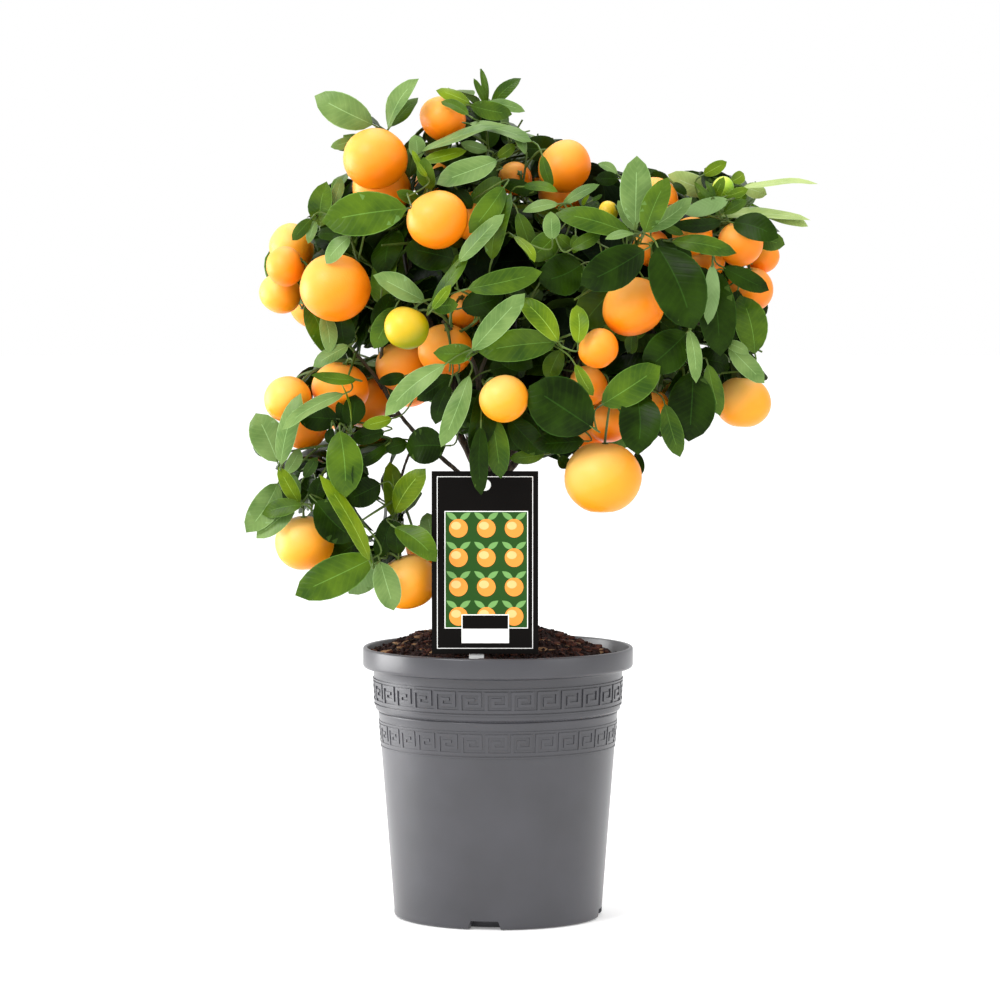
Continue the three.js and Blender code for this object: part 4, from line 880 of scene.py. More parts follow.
# %% Leading leaves, in millimetres and degrees
# Each listed leaf's green: sage and pale are painted sheen, deep is its own dark green and partly painted
# shade, and young is fresh growth and partly a painted backlit glow.
D, M, S, Y, P = "deep", "mid", "sage", "young", "pale"  # greens
LEADING = [
    # top left
    (-88, 556, -128, 576, 23, 0, -48, S), (-76, 553, -56, 588, 18, 50, -45, S),
    (-75, 554, -56, 575, 14, 45, -52, M), (-100, 545, -117, 540, 8, 0, -40, S),
    (-124, 485, -120, 516, 17, 20, -40, M), (-116, 500, -110, 519, 8, 0, -45, S),
    (-64, 497, -123, 488, 30, 0, -108, M), (-55, 503, -71, 509, 9, 0, -92, M),
    (-47, 511, -52, 533, 12, 0, -98, M), (-57, 532, -58, 549, 12, 0, -60, S),
    (-54, 526, -60, 538, 4, 0, -98, Y), (-50, 520, -57, 530, 4, 0, -98, Y),
    (-53, 536, 5, 556, 18, 68, -62, S), (-20, 556, 24, 545, 18, 65, -58, S),
    (-20, 570, -43, 580, 12, 40, -35, Y), (-21, 562, -40, 572, 9, 35, -55, M),
    (-19, 569, 10, 563, 13, 0, -38, M), (-8, 570, 19, 565, 9, 30, -30, S),
    (-4, 569, 16, 588, 10, 35, -25, M), (-8, 570, -12, 595, 5, 0, -22, M),
    (-8, 570, -17, 588, 5, 0, -22, M), (10, 552, 19, 535, 9, 35, -48, S),
    (16, 540, 42, 541, 18, 0, -42, D), (0, 533, 12, 542, 8, 0, -50, Y),
    (-8, 538, -26, 543, 8, 0, -55, S), (-1, 530, -43, 515, 20, 32, -75, S),
    (-52, 530, -22, 538, 10, 30, -68, Y), (-8, 524, -35, 513, 14, 60, -66, S),
    (-1, 524, -18, 519, 10, 0, -55, D), (-20, 502, 2, 519, 13, 0, -70, M),
    (-29, 511, -18, 497, 10, 0, -75, D), (4, 512, -20, 480, 17, 0, -98, M),
    (-4, 462, 9, 508, 17, 10, -88, M), (42, 500, 17, 495, 9, 30, -80, S),
    (2, 516, 28, 508, 10, 0, -40, D), (18, 512, 42, 509, 8, 30, -68, M),
    (31, 534, 38, 512, 8, 0, -66, M),
    # middle left
    (-131, 490, -144, 475, 9, 0, -50, M), (-128, 488, -133, 473, 7, 0, -46, S),
    (-108, 478, -127, 479, 9, 0, -60, D), (-104, 477, -121, 459, 14, 30, -91, S),
    (-31, 462, -65, 470, 24, 0, -92, D), (-52, 432, -87, 451, 18, 15, -98, S),
    (-46, 431, -21, 466, 10, 25, -112, M), (-46, 427, -33, 444, 7, 0, -112, Y),
    (-45, 428, -28, 430, 12, 0, -104, M), (-88, 416, -74, 438, 14, 0, -70, D),
    (-72, 428, -87, 399, 16, 0, -92, M), (-134, 431, -118, 395, 19, 15, -50, M),
    (-122, 423, -118, 396, 12, 0, -60, S), (-110, 423, -107, 400, 18, 0, -62, D),
    (-105, 401, -130, 387, 12, 30, -70, S), (-18, 397, -45, 396, 14, 0, -102, M),
    (-37, 388, -80, 352, 16, 15, -112, S), (-32, 380, -57, 363, 14, 0, -80, D),
    (-66, 380, -84, 376, 9, 0, -62, D), (-100, 377, -131, 381, 9, 20, -82, M),
    (-108, 367, -152, 343, 16, 52, -86, S), (-113, 350, -141, 352, 19, 0, -50, D),
    (-104, 346, -112, 379, 8, 60, -76, Y), (-104, 345, -100, 367, 16, 0, -52, D),
    (-108, 346, -112, 362, 8, 0, -54, D), (-20, 380, -40, 330, 15, 10, -100, S),
    (-34, 374, -44, 346, 12, 0, -90, D),
    # low left
    (-155, 320, -170, 354, 24, 0, -56, S), (-152, 318, -139, 368, 15, 20, -50, S),
    (-153, 320, -138, 357, 11, 15, -58, M), (-149, 312, -139, 329, 10, 0, -62, S),
    (-136, 309, -127, 323, 8, 0, -48, M), (-111, 341, -107, 295, 25, 0, -88, M),
    (-117, 344, -118, 332, 7, 0, -70, D), (-80, 341, -103, 335, 12, 0, -62, D),
    (-75, 350, -95, 345, 9, 0, -66, Y), (-79, 331, -99, 316, 8, 0, -60, D),
    (-37, 331, -65, 330, 26, 0, -60, D), (-64, 333, -80, 329, 12, 0, -50, D),
    (-72, 284, -51, 315, 18, 20, -50, Y), (-75, 282, -76, 320, 15, 10, -44, Y),
    (-84, 252, -76, 282, 14, 0, -56, D), (-70, 255, -72, 278, 14, 0, -50, D),
    (-72, 273, -43, 250, 18, 15, -88, M), (-47, 265, -50, 284, 14, 0, -42, S),
    (-88, 252, -143, 226, 27, 0, -72, M), (-83, 252, -105, 253, 7, 0, -60, D),
    (-86, 248, -105, 227, 18, 180, -58, S), (-83, 249, -73, 215, 19, 10, -76, S),
    (-91, 250, -125, 311, 16, 40, -88, Y), (-128, 292, -100, 265, 26, 0, -72, D),
    (-130, 290, -125, 309, 12, 0, -56, D), (-83, 304, -108, 292, 20, 0, -56, D),
    (-155, 304, -177, 270, 20, 0, -52, S), (-138, 289, -166, 283, 13, 20, -66, M),
    (-143, 288, -170, 266, 16, 0, -58, S), (-140, 291, -154, 316, 11, 20, -60, Y),
    (-140, 296, -148, 312, 8, 0, -52, S),
    # middle
    (-27, 460, 4, 494, 14, 30, -108, S), (14, 494, 25, 461, 12, 0, -70, M),
    (11, 477, 26, 460, 9, 45, -96, Y), (93, 479, 40, 494, 17, 15, -112, M),
    (38, 476, 37, 495, 12, 0, -108, S), (41, 480, 22, 462, 18, 0, -84, M),
    (42, 479, 53, 469, 9, 0, -90, M), (52, 469, 72, 480, 10, 15, -98, M),
    (54, 478, 53, 466, 8, 0, -86, M), (58, 458, 29, 446, 29, 0, -86, D),
    (-21, 441, 31, 453, 17, 10, -112, M), (-18, 398, 19, 438, 17, 0, -118, S),
    (-4, 416, 15, 430, 15, 0, -96, M), (42, 404, 15, 435, 16, 15, -112, Y),
    (86, 447, 57, 414, 29, 0, -72, M), (102, 468, 58, 444, 28, 0, -116, D),
    (56, 403, 55, 430, 13, 0, -118, Y), (41, 404, -14, 397, 22, 0, -104, M),
    (-25, 428, 4, 436, 20, 0, -80, D), (-12, 424, 5, 418, 14, 0, -84, D),
    (44, 398, 35, 377, 14, 0, -80, M), (66, 344, 22, 373, 40, 0, -108, D),
    (60, 334, 24, 332, 16, 0, -84, D), (43, 324, 50, 316, 9, 0, -70, D),
    (8, 350, 32, 325, 18, 0, -78, D), (32, 325, 8, 322, 10, 0, -66, M),
    (-9, 372, -18, 325, 19, 0, -92, D), (-12, 345, -12, 296, 13, 0, -98, D),
    (-4, 352, 2, 308, 17, 0, -98, M), (-8, 350, -6, 318, 14, 0, -88, D),
    (54, 388, 67, 366, 9, 15, -104, Y), (73, 360, 114, 387, 24, 0, -104, M),
    (132, 410, 103, 384, 28, 0, -92, D), (97, 368, 98, 325, 29, 0, -98, D),
    (117, 360, 128, 323, 15, 10, -88, M), (137, 383, 134, 334, 33, 0, -82, D),
    (134, 412, 139, 375, 10, 0, -104, S), (147, 388, 156, 352, 14, 20, -80, M),
    (162, 400, 187, 375, 14, 10, -82, S), (160, 403, 176, 396, 8, 10, -78, S),
    (95, 412, 94, 395, 9, 0, -70, M), (114, 418, 130, 408, 12, 0, -76, D),
    (97, 326, 101, 311, 7, 0, -60, D), (0, 400, 24, 386, 20, 0, -64, D),
    (-6, 384, 18, 392, 16, 0, -56, D),
    # upper right
    (96, 486, 97, 534, 22, 0, -112, S), (103, 481, 119, 519, 17, 0, -116, M),
    (101, 481, 136, 505, 12, 0, -118, S), (96, 482, 84, 503, 12, 25, -100, S),
    (95, 479, 75, 476, 8, 50, -116, S), (112, 470, 137, 413, 37, 0, -114, D),
    (150, 458, 147, 416, 11, 180, -100, S), (151, 455, 156, 394, 26, 0, -84, D),
    (168, 440, 160, 400, 16, 0, -68, D), (180, 396, 170, 437, 23, 0, -78, M),
    (158, 456, 190, 440, 14, 0, -92, D), (122, 474, 167, 466, 13, 15, -100, M),
    (165, 487, 196, 477, 19, 0, -60, D), (178, 479, 201, 472, 14, 0, -48, M),
    (155, 492, 219, 490, 15, 40, -62, P), (188, 491, 217, 485, 10, 35, -54, P),
    (170, 510, 224, 515, 12, 68, -56, P), (144, 521, 160, 530, 9, 0, -55, Y),
    (150, 509, 119, 521, 16, 0, -40, P), (163, 516, 172, 522, 9, 0, -50, Y),
    (160, 506, 175, 511, 7, 0, -66, Y), (172, 512, 188, 507, 11, 0, -42, P),
    (152, 504, 137, 516, 4, 0, -76, M), (152, 504, 145, 517, 4, 0, -74, M),
    (150, 502, 140, 508, 7, 0, -72, M), (151, 502, 158, 519, 8, 0, -66, Y),
    (148, 503, 142, 499, 8, 0, -74, M), (161, 503, 130, 494, 12, 180, -82, S),
    (158, 494, 174, 503, 8, 0, -72, M), (156, 488, 121, 486, 10, 0, -72, D),
    (114, 487, 130, 479, 6, 0, -90, M), (123, 515, 132, 507, 6, 0, -50, D),
    (106, 518, 119, 519, 9, 0, -45, D), (83, 521, 70, 529, 7, 30, -60, S),
    (84, 518, 68, 518, 10, 0, -62, D), (46, 500, 71, 514, 8, 20, -75, S),
    (60, 500, 64, 507, 3, 0, -80, Y), (66, 503, 73, 507, 3, 0, -80, M),
    (130, 474, 118, 448, 22, 0, -70, D), (110, 474, 124, 458, 16, 0, -88, D),
    (150, 452, 132, 440, 20, 0, -66, D),
]

# %% [markdown]
# ### The rule
# Seeded draws take the place of a long list. Every step of the rule has random streams of its own, told
# apart by keys, so that a change in one step leaves the draws of all the others as they were.

# %% The rule's sizes, in millimetres unless a comment says otherwise
STEM_RADIUS, SHOOT_ROOT, SHOOT_TIP, STALK_RADIUS = 1.6, 1.2, 0.7, 0.8
SIDE_LENGTH, SIDE_RADII, TWIGLET_RADII = (20, 32), (0.9, 0.6), (0.7, 0.55)
STEM_SPACING, SHOOT_SPACING = 13, 5  # between neighbours on a bough and on a stem
FIRST_SHOOT, STEM_HANDLE = 0.96, 0.4  # where on the stem, and how far its curve leans along the bough: shares
FAN = (0.98, -0.15)  # how the added shoots spread: the cosines of the first and last one's angle
SHOOT_TRIES, BOW, MORE_BOW = 24, 0.05, 0.03  # a twig's bow as a share of its length, and more with each try
SIDE_TWIGS = (0.4, 0.68, 0.9)  # where they leave a shoot
SIDE_LEAN, SIDE_RISE, SIDE_BOW = (0.8, 1.5), 0.3, 4  # sideways and up, as shares of the way along; and mm
LEAVES_A_SHOOT, LEAVES_A_SIDE_TWIG = 8, 5
STALK_DEPTH, STALK_RISE, STALK_FLARE = 0.75, 5, 1.25  # the first and last are shares of a radius
HANG_SPOTS = (0.2, 0.35, 0.5, 0.65, 0.8, 0.92)  # where fruit may hang from a twig
LONGEST, SHORTEST, WIDTH_TO_LENGTH, WIDTH_SPREAD = 56, 34, 0.5, (0.85, 1.15)  # of leaves
LEAF_SPAN, LEAF_CONE, CONE_SPREAD = (0.97, 0.12), 56, (0.7, 1.25)  # along a twig, degrees from it, and share
PETIOLE, HIDDEN_FOOT = 7, 4  # stalk before a seeded blade, and before the foot of a listed one
LIFT, SCATTER, LEAF_TRIES = 0.35, 0.5, 8  # how much a leaf's face turns to the sky and at random: shares
LEAF_SPARE, SIDE_TWIG_SPARE, TWIGLET_SPARE = 0.8, 1.5, 1  # how clear of fruit they keep
CROWN_CENTRE = Vector((0, 0, 400))
CROWN_LOW, CROWN_HIGH = Vector((-178, -143, 219)), Vector((224, 160, 592))
REACH = 0.84  # how much of its mass's room leaf tips use
GOLDEN_ANGLE = math.pi * (3 - math.sqrt(5))
UP = Vector((0, 0, 1))
MODULUS, MULTIPLIER = 2**31 - 1, 48271  # of Park and Miller's generator
FIRST_STATE, STATE_STEP, KEY_STEP, SHIFT = 7, 1009, 31, 17  # how keys are made into its first state
STREAM = {"shoot": 1, "side twig": 5, "listed leaf": 60, "twiglet": 70, "seeded leaf": 80, "added": 500,
          "deep leaves": 901, "flank leaves": 903, "blade": 7000, "green": 8000, "spray": 8100, "fruit": 9000}


# %% The rule: chance and directions
def random_stream(*keys):
    """Park and Miller's generator: the same keys always give the same draws."""
    state = FIRST_STATE
    for key in keys:
        state = (state * STATE_STEP + key * KEY_STEP + SHIFT) % MODULUS

    def draw():
        nonlocal state
        state = state * MULTIPLIER % MODULUS
        return state / MODULUS

    draw()
    draw()
    return draw


def any_way(draw):
    """A short random vector."""
    return Vector((draw() - 0.5, draw() - 0.5, draw() - 0.5))


def turned(vector, axis, degrees):
    """A vector turned about an axis."""
    return Quaternion(axis, math.radians(degrees)) @ vector


def square_to(way, vector):
    """The part of a vector that is square to a unit direction, made a unit long."""
    return (vector - way * vector.dot(way)).normalized()


# %% The rule: a record of who stands where
MOST_BODIES = 9000
grown_boxes = np.zeros((MOST_BODIES, 6))
grown = []  # (owner, kind, search tree) in the order of grown_boxes


def tangled(path, radius, steps=4):
    """A coarse tube round a curve, for finding what crosses it."""
    stops = stops_on(path, steps)
    side = (stops[-1] - stops[0]).orthogonal().normalized()
    other = (stops[-1] - stops[0]).cross(side).normalized()
    turns = [side * math.cos(a) + other * math.sin(a) for a in (0, math.tau / 3, 2 * math.tau / 3)]
    points = [stop + turn * radius for stop in stops for turn in turns]
    faces = [(3 * k + i, 3 * k + (i + 1) % 3, 3 * k + 3 + (i + 1) % 3, 3 * k + 3 + i)
             for k in range(steps) for i in range(3)]
    return points, faces


def remember(owner, kind, points, faces):
    """Notes a body, so that later ones keep clear of it."""
    place = np.array(points)
    grown_boxes[len(grown)] = (*place.min(0), *place.max(0))
    grown.append((owner, kind, BVHTree.FromPolygons(points, faces)))


def crosses(points, faces, wanted=lambda owner, kind: True):
    """True if a body crosses one that is already there."""
    place, count = np.array(points), len(grown)
    low, high = place.min(0), place.max(0)
    near = np.nonzero(((grown_boxes[:count, :3] <= high) & (grown_boxes[:count, 3:] >= low)).all(1))[0]
    if not len(near):
        return False
    tree = BVHTree.FromPolygons(points, faces)
    return any(wanted(*grown[k][:2]) and tree.overlap(grown[k][2]) for k in near)


def all_but_twigs_of(mass):
    """What a leaf mustn't cross: everything, except the twigs of its own mass."""
    return lambda owner, kind: kind != "twig" or owner != mass["name"]


fruit_places = []  # every fruit: its centre, radius and look
fruit_centres, fruit_radii = np.zeros((0, 3)), np.zeros(0)


def in_fruit(points, spare, besides=None):
    """True if a point is in a fruit or nearer to it than spare."""
    away = np.linalg.norm(np.array(points)[:, None] - fruit_centres, axis=2).min(0) < fruit_radii + spare
    if besides is not None:
        away[fruit_places.index(besides)] = False
    return bool(away.any())


# %% [markdown]
# ### What the camera sees
# A leaf that is listed by its place in the view has one free number, its depth, so it can slide along
# the line of sight until it crosses nothing, and it still looks the same. The seeded leaves must not hide
# the listed ones or close the gaps where the sky shows. So a map, one millimetre to a cell, holds the
# depth of the nearest listed leaf or fruit. Its outline, with narrow gaps filled, is where leaves may be.

# %% The map of the view
EYE = Vector((CAMERA_ASIDE, -CAMERA_DISTANCE, CAMERA_HEIGHT)) / MM
MAP_LOW, MAP_SIZE = (-230, 180), (500, 460)
NARROW_GAP, WIDE_GAP = 4, 13  # mm: half the width of a gap that leaves may fill, and in the crown's thick
THICK = [  # discs where no sky shows: across, up and radius
    (-80, 462, 30), (-40, 470, 45), (0, 500, 45), (30, 450, 60), (20, 390, 55), (60, 390, 55), (110, 440, 55),
    (120, 400, 50), (150, 430, 40), (75, 470, 50), (-22, 530, 24), (20, 535, 22), (-97, 410, 14),
    (-60, 425, 35), (-115, 372, 30), (-95, 470, 20), (-60, 530, 12), (-50, 385, 18)]
SKY = [  # discs where it does, in the thick too
    (-148, 402, 12), (72, 545, 18), (62, 462, 4), (6, 466, 5), (-34, 512, 8), (-42, 440, 5), (-38, 372, 8),
    (-24, 350, 7), (-62, 352, 9), (-54, 312, 10), (150, 396, 5), (119, 376, 5), (78, 506, 7), (172, 424, 7),
    (-90, 272, 7), (-68, 358, 9), (-51, 298, 8), (-56, 562, 8), (-106, 322, 5), (-80, 334, 6),
    (-62, 556, 13), (10, 537, 5), (22, 530, 5), (-57, 534, 5), (68, 524, 8), (-84, 408, 4)]
HIDDEN_FROM = 50  # mm: fruit deeper than this is left out of the map
OPEN_DEPTH = -45  # mm: leaves keep behind this where nothing listed is in front of them


def seen_at(u, v, depth):
    """The point at a depth that the camera sees at (u, v) on the upright plane."""
    return EYE + (Vector((u, 0, v)) - EYE) * (depth - EYE.y) / -EYE.y


def in_view(points):
    """Across and up, as cells of the map, for points in space."""
    place = np.array(points)
    scale = -EYE.y / (place[:, 1] - EYE.y)
    u = EYE.x + (place[:, 0] - EYE.x) * scale - MAP_LOW[0]
    v = EYE.z + (place[:, 2] - EYE.z) * scale - MAP_LOW[1]
    return np.clip(u.astype(int), 0, MAP_SIZE[0] - 1), np.clip(v.astype(int), 0, MAP_SIZE[1] - 1)


front = np.full(MAP_SIZE, np.inf)  # the depth of the nearest listed leaf or fruit
seen = np.zeros(MAP_SIZE, bool)  # where any leaf or fruit is
cell_u, cell_v = np.meshgrid(*(np.arange(size) + low for size, low in zip(MAP_SIZE, MAP_LOW)), indexing="ij")


def disc_cells(u, v, radius):
    """The cells of a disc."""
    return (cell_u - u) ** 2 + (cell_v - v) ** 2 < radius**2


def note_fruit(fruit):
    """Marks the cells that a fruit covers, unless leaves should cover it from this side."""
    if fruit["centre"].y > HIDDEN_FROM:
        return
    u, v = in_view([fruit["centre"]])
    cells = disc_cells(u[0] + MAP_LOW[0], v[0] + MAP_LOW[1], fruit["radius"])
    front[cells] = np.minimum(front[cells], fruit["centre"].y)
    seen[cells] = True


def spread(mask, reach):
    """A mask grown by a disc."""
    wide = mask.copy()
    for a in range(-reach, reach + 1):
        for b in range(-reach, reach + 1):
            if a * a + b * b <= reach * reach:
                wide |= np.roll(mask, (a, b), (0, 1))
    return wide


def fits_view(points):
    """True if every point is where leaves may be, and behind what is listed there."""
    cells = in_view(points)
    nearest = front[cells]
    limit = np.where(np.isinf(nearest), OPEN_DEPTH, nearest)
    return bool((leafy[cells] & (np.array(points)[:, 1] > limit)).all())


# %% The rule: a blade's place and shape
ROOT_POWER, TIP_POWER = 0.68, 0.66  # how blunt a blade's ends are
WIDEST = 0.507**ROOT_POWER * 0.493**TIP_POWER  # it is widest at 0.507 of its length


def blade_outline(t):
    """Half width of a citrus blade as a share of its widest, from its root, 0, to its tip, 1."""
    if not 0 < t < 1:
        return 0.0
    return t**ROOT_POWER * (1 - t) ** TIP_POWER / WIDEST


def blade_points(leaf, start=0.0, stations=5, columns=3):
    """A leaf's edges, midrib and what is between at a few stations."""
    across = leaf["direction"].cross(leaf["normal"])
    points = []
    for k in range(stations):
        t = mix(start / leaf["length"], 1, k / (stations - 1))
        half = leaf["width"] / 2 * blade_outline(t)
        middle = leaf["root"] + leaf["direction"] * leaf["length"] * t
        middle += leaf["normal"] * leaf["length"] * leaf["arch"] * 4 * t * (1 - t)
        points += [middle + across * half * mix(-1, 1, i / (columns - 1)) for i in range(columns)]
    return points, [(a, a + 1, a + 4, a + 3) for k in range(stations - 1) for a in (3 * k, 3 * k + 1)]


def past_reach(mass, tip):
    """True for a leaf tip that is too far from its mass's hub, or outside the crown."""
    in_crown = all(low <= c <= high for low, c, high in zip(CROWN_LOW, tip, CROWN_HIGH))
    return (tip - mass["hub"]).length > mass["room"] * REACH or not in_crown


# %% The rule: stems, shoots, side twigs and stalks
twigs = []  # (kind, path, radius at its root, radius at its tip)


def clear_way(start, end, draw, spare=SHOOT_ROOT):
    """The first bow of a twig that misses every fruit."""
    span = end - start
    for k in range(SHOOT_TRIES):
        aside = Vector((draw() - 0.5, draw() - 0.5, draw() - 0.2))
        aside = square_to(span.normalized(), aside) * span.length * (BOW + MORE_BOW * k)
        path = [start, start + span * 0.5 + aside, end]
        if not in_fruit(stops_on(path, 8), spare):
            return path
    return path


def seeded_tips(mass):
    """Shoots that fan out from the hub, away from the crown's middle."""
    count, length = mass["more"]
    turn = UP.rotation_difference((mass["hub"] - CROWN_CENTRE).normalized())
    draw = random_stream(mass["number"], STREAM["added"])
    tips = []
    for k in range(count):
        height = mix(*FAN, (k + 0.5) / count)
        angle = k * GOLDEN_ANGLE + draw()
        flat = math.sqrt(1 - height * height)
        way = turn @ Vector((flat * math.cos(angle), flat * math.sin(angle), height))
        tips.append(way * length * mix(0.75, 1, draw()) + mass["hub"])
    return tips


def grow_stem_and_shoots(mass):
    """A stem from the bough to the hub, and the shoots that leave it near its end."""
    path = bough_path(mass["bough"])
    t = 1 - mass["place"] * STEM_SPACING / length_of(path)
    start = on_curve(path, t)
    reach = (start - mass["hub"]).length * STEM_HANDLE
    stem = [start, start + heading(path, t) * reach, mass["hub"]]
    twigs.append(("stem", stem, STEM_RADIUS, SHOOT_ROOT))
    remember(mass["name"], "twig", *tangled(stem, STEM_RADIUS))
    spacing = SHOOT_SPACING / length_of(stem)
    mass["twigs"] = []
    for k, tip in enumerate([Vector(tip) for tip in mass["shoots"]] + seeded_tips(mass)):
        root = on_curve(stem, FIRST_SHOOT - spacing * k)
        shoot = clear_way(root, tip, random_stream(mass["number"], k, STREAM["shoot"]))
        twigs.append(("shoot", shoot, SHOOT_ROOT, SHOOT_TIP))
        remember(mass["name"], "twig", *tangled(shoot, SHOOT_ROOT))
        mass["twigs"].append({"path": shoot, "number": k, "leaves": LEAVES_A_SHOOT})


def grow_side_twigs(mass):
    """Finer twigs that leave each shoot to alternate sides."""
    for twig in list(mass["twigs"]):
        for k, t in enumerate(SIDE_TWIGS):
            draw = random_stream(mass["number"], twig["number"], k, STREAM["side twig"])
            tangent = heading(twig["path"], t)
            turn = math.degrees(k * GOLDEN_ANGLE + 6 * draw())
            side = turned(tangent.orthogonal().normalized(), tangent, turn)
            way = (tangent + side * mix(*SIDE_LEAN, draw()) + UP * SIDE_RISE).normalized()
            root = on_curve(twig["path"], t)
            tip = root + way * mix(*SIDE_LENGTH, draw())
            path = [root, root.lerp(tip, 0.5) + any_way(draw) * SIDE_BOW, tip]
            points, faces = tangled(path, SIDE_RADII[0], 3)
            stops = stops_on(path, 4)[1:]
            if in_fruit(stops, SIDE_TWIG_SPARE) or not fits_view(stops):
                continue
            twigs.append(("side twig", path, *SIDE_RADII))
            remember(mass["name"], "twig", points, faces)
            number = twig["number"] * 10 + k + 100
            mass["twigs"].append({"path": path, "number": number, "leaves": LEAVES_A_SIDE_TWIG})


def hang_fruit(mass, fruit):
    """A fruit hangs by a stalk from the nearest twig that it can reach without crossing another."""
    spots = [on_curve(twig["path"], t) for twig in mass["twigs"] for t in HANG_SPOTS]
    centre, radius = fruit["centre"], fruit["radius"]
    spots = sorted((s for s in spots if (s - centre).length > radius + 2), key=lambda s: (s - centre).length)
    for spot in spots:
        pull = ((spot - centre).normalized() + UP).normalized()
        path = [spot, centre + pull * (radius + STALK_RISE), centre + pull * radius * STALK_DEPTH]
        if not in_fruit(stops_on(path, 6), STALK_RADIUS, besides=fruit):
            break
    fruit["up"] = pull
    twigs.append(("stalk", path, STALK_RADIUS, STALK_RADIUS * STALK_FLARE))


# %% The rule: leading leaves
SLIDES = (0, -5, 5, -10, 10, 16, -15, 22)  # mm along the line of sight
TWISTS = (0, 10, -10, 20, -20)  # degrees
TIP_DEPTH = (-14, 7)  # mm: how far a tip may be nearer or deeper than its foot
ARCH = (0.03, 0.09)  # how high a blade arches, as a share of its length


def leading_leaf(row, number):
    """Slides and twists a listed leaf until it crosses nothing."""
    u0, v0, u1, v1, width, turn, depth, green = row
    draw = random_stream(number, STREAM["listed leaf"])
    lean, arch = mix(*TIP_DEPTH, draw()), mix(*ARCH, draw())
    best = None
    for slide in SLIDES:
        foot, tip = seen_at(u0, v0, depth + slide), seen_at(u1, v1, depth + slide + lean)
        direction = (tip - foot).normalized()
        facing = square_to(direction, (EYE - foot).normalized())
        either = [turned(facing, direction, turn), turned(facing, direction, -turn)]
        normal = max(either, key=lambda n: n.z)
        for twist in TWISTS:
            leaf = {"root": foot - direction * HIDDEN_FOOT, "length": (tip - foot).length + HIDDEN_FOOT,
                    "width": width, "direction": direction, "normal": turned(normal, direction, twist),
                    "arch": arch, "green": green, "listed": True}
            points, faces = blade_points(leaf, HIDDEN_FOOT)
            clear = not in_fruit(points, LEAF_SPARE)
            best = best or (clear and leaf)
            if clear and not crosses(points, faces):
                return leaf, True
    return best or leaf, False


def note_leaf(leaf, start):
    """Marks the cells that a leaf covers."""
    fine = blade_points(leaf, start, 48, 25)[0]
    cells = in_view(fine)
    seen[cells] = True
    return cells, np.array(fine)[:, 1]


# %% [markdown]
# Each listed leaf then gets a twiglet of its own, from the nearest twig that it can reach without crossing
# a fruit or another listed leaf. A twiglet that would show in front of leaves counts as a longer one.

# %% The rule: twiglets
NEAR_SPOTS, IN_FRONT = 60, 7  # places that are tried, and the mm that each part in front of a leaf costs
BEHIND = (0.1, 0.4)  # how far a twiglet bows towards the back, as a share of its length
SPOT_PLACES = (0.35, 0.55, 0.75, 0.97)  # where twiglets may leave a twig
NEW_SPOT, LEAN_IN = 0.7, 0.3  # where others may leave a twiglet, and how much of it runs along its leaf
THIN, SHORT = 0.5, 1  # mm: its radius when it is tested, and the length below which it isn't needed


def shown_before(path, steps=8):
    """How many places of a twig lie in front of what the camera should see."""
    points = stops_on(path, steps)[:-1]
    return int((np.array(points)[:, 1] < front[in_view(points)]).sum())


def nearest_twig(root, direction, spots, draw):
    """The shortest fine twig that reaches a leaf's foot past the fruit and behind what shows."""
    near = sorted(spots, key=lambda spot: (spot[0] - root).length)[:NEAR_SPOTS]
    best = None
    for spot, owner in near:
        for bow in BEHIND:
            back = Vector((0, (spot - root).length * bow, 0))
            path = [spot, root - direction * (spot - root).length * LEAN_IN + back, root]
            cost = (spot - root).length + IN_FRONT * shown_before(path)
            if best and cost >= best[0] or in_fruit(stops_on(path, 5), TWIGLET_SPARE):
                continue
            if not crosses(*tangled(path, THIN, 3), lambda who, kind: kind == "leaf" and who == "listed"):
                best = cost, path, owner
    if best:
        return best[1:]
    spot, owner = near[0]
    return clear_way(spot, root, draw, TWIGLET_SPARE), owner


leaves = []


def join_to_twigs(leaf, number, spots):
    """Gives a leaf its twig, and the mass that the twig belongs to."""
    draw = random_stream(number, STREAM["twiglet"])
    path, owner = nearest_twig(leaf["root"], leaf["direction"], spots, draw)
    leaves.append({**leaf, "mass": owner})
    if (path[0] - leaf["root"]).length > SHORT:
        twigs.append(("twiglet", path, *TWIGLET_RADII))
    spots += [(on_curve(path, NEW_SPOT), owner), (leaf["root"], owner)]


def twig_spots():
    """Places on every mass's twigs where a twiglet may leave."""
    every = [(twig, mass["name"]) for mass in masses for twig in mass["twigs"]]
    return [(on_curve(twig["path"], t), name) for twig, name in every for t in SPOT_PLACES]


def grow_leading():
    """Places every listed leaf, and then joins each to the nearest twig that it can reach."""
    tight, placed = 0, []
    for number, row in enumerate(LEADING):
        leaf, clear = leading_leaf(row, number)
        tight += not clear
        remember("listed", "leaf", *blade_points(leaf, HIDDEN_FOOT))
        placed.append(leaf)
        cells, depths = note_leaf(leaf, HIDDEN_FOOT)
        np.minimum.at(front, cells, depths)
    print(len(placed), "listed leaves,", tight, "of them touching a neighbour")
    spots = twig_spots()
    for number, leaf in enumerate(placed):
        join_to_twigs(leaf, number, spots)


# %% The rule: seeded leaves
def settles(leaf, owner, *what_counts):
    """Notes a leaf if its place is free: behind what shows, clear of fruit and crossing nothing."""
    points, faces = blade_points(leaf, PETIOLE)
    if in_fruit(points, LEAF_SPARE) or not fits_view(points) or crosses(points, faces, *what_counts):
        return False
    remember(owner, "leaf", points, faces)
    note_leaf(leaf, PETIOLE)
    return True


SEEDED_ARCH, LEVEL = 0.08, 0.3  # an arch as a share of the length, and how much the leaf lies level
MORE_TURN, SHORTER = 0.9, 0.04  # with each try: radians, and a share of the way from longest to shortest


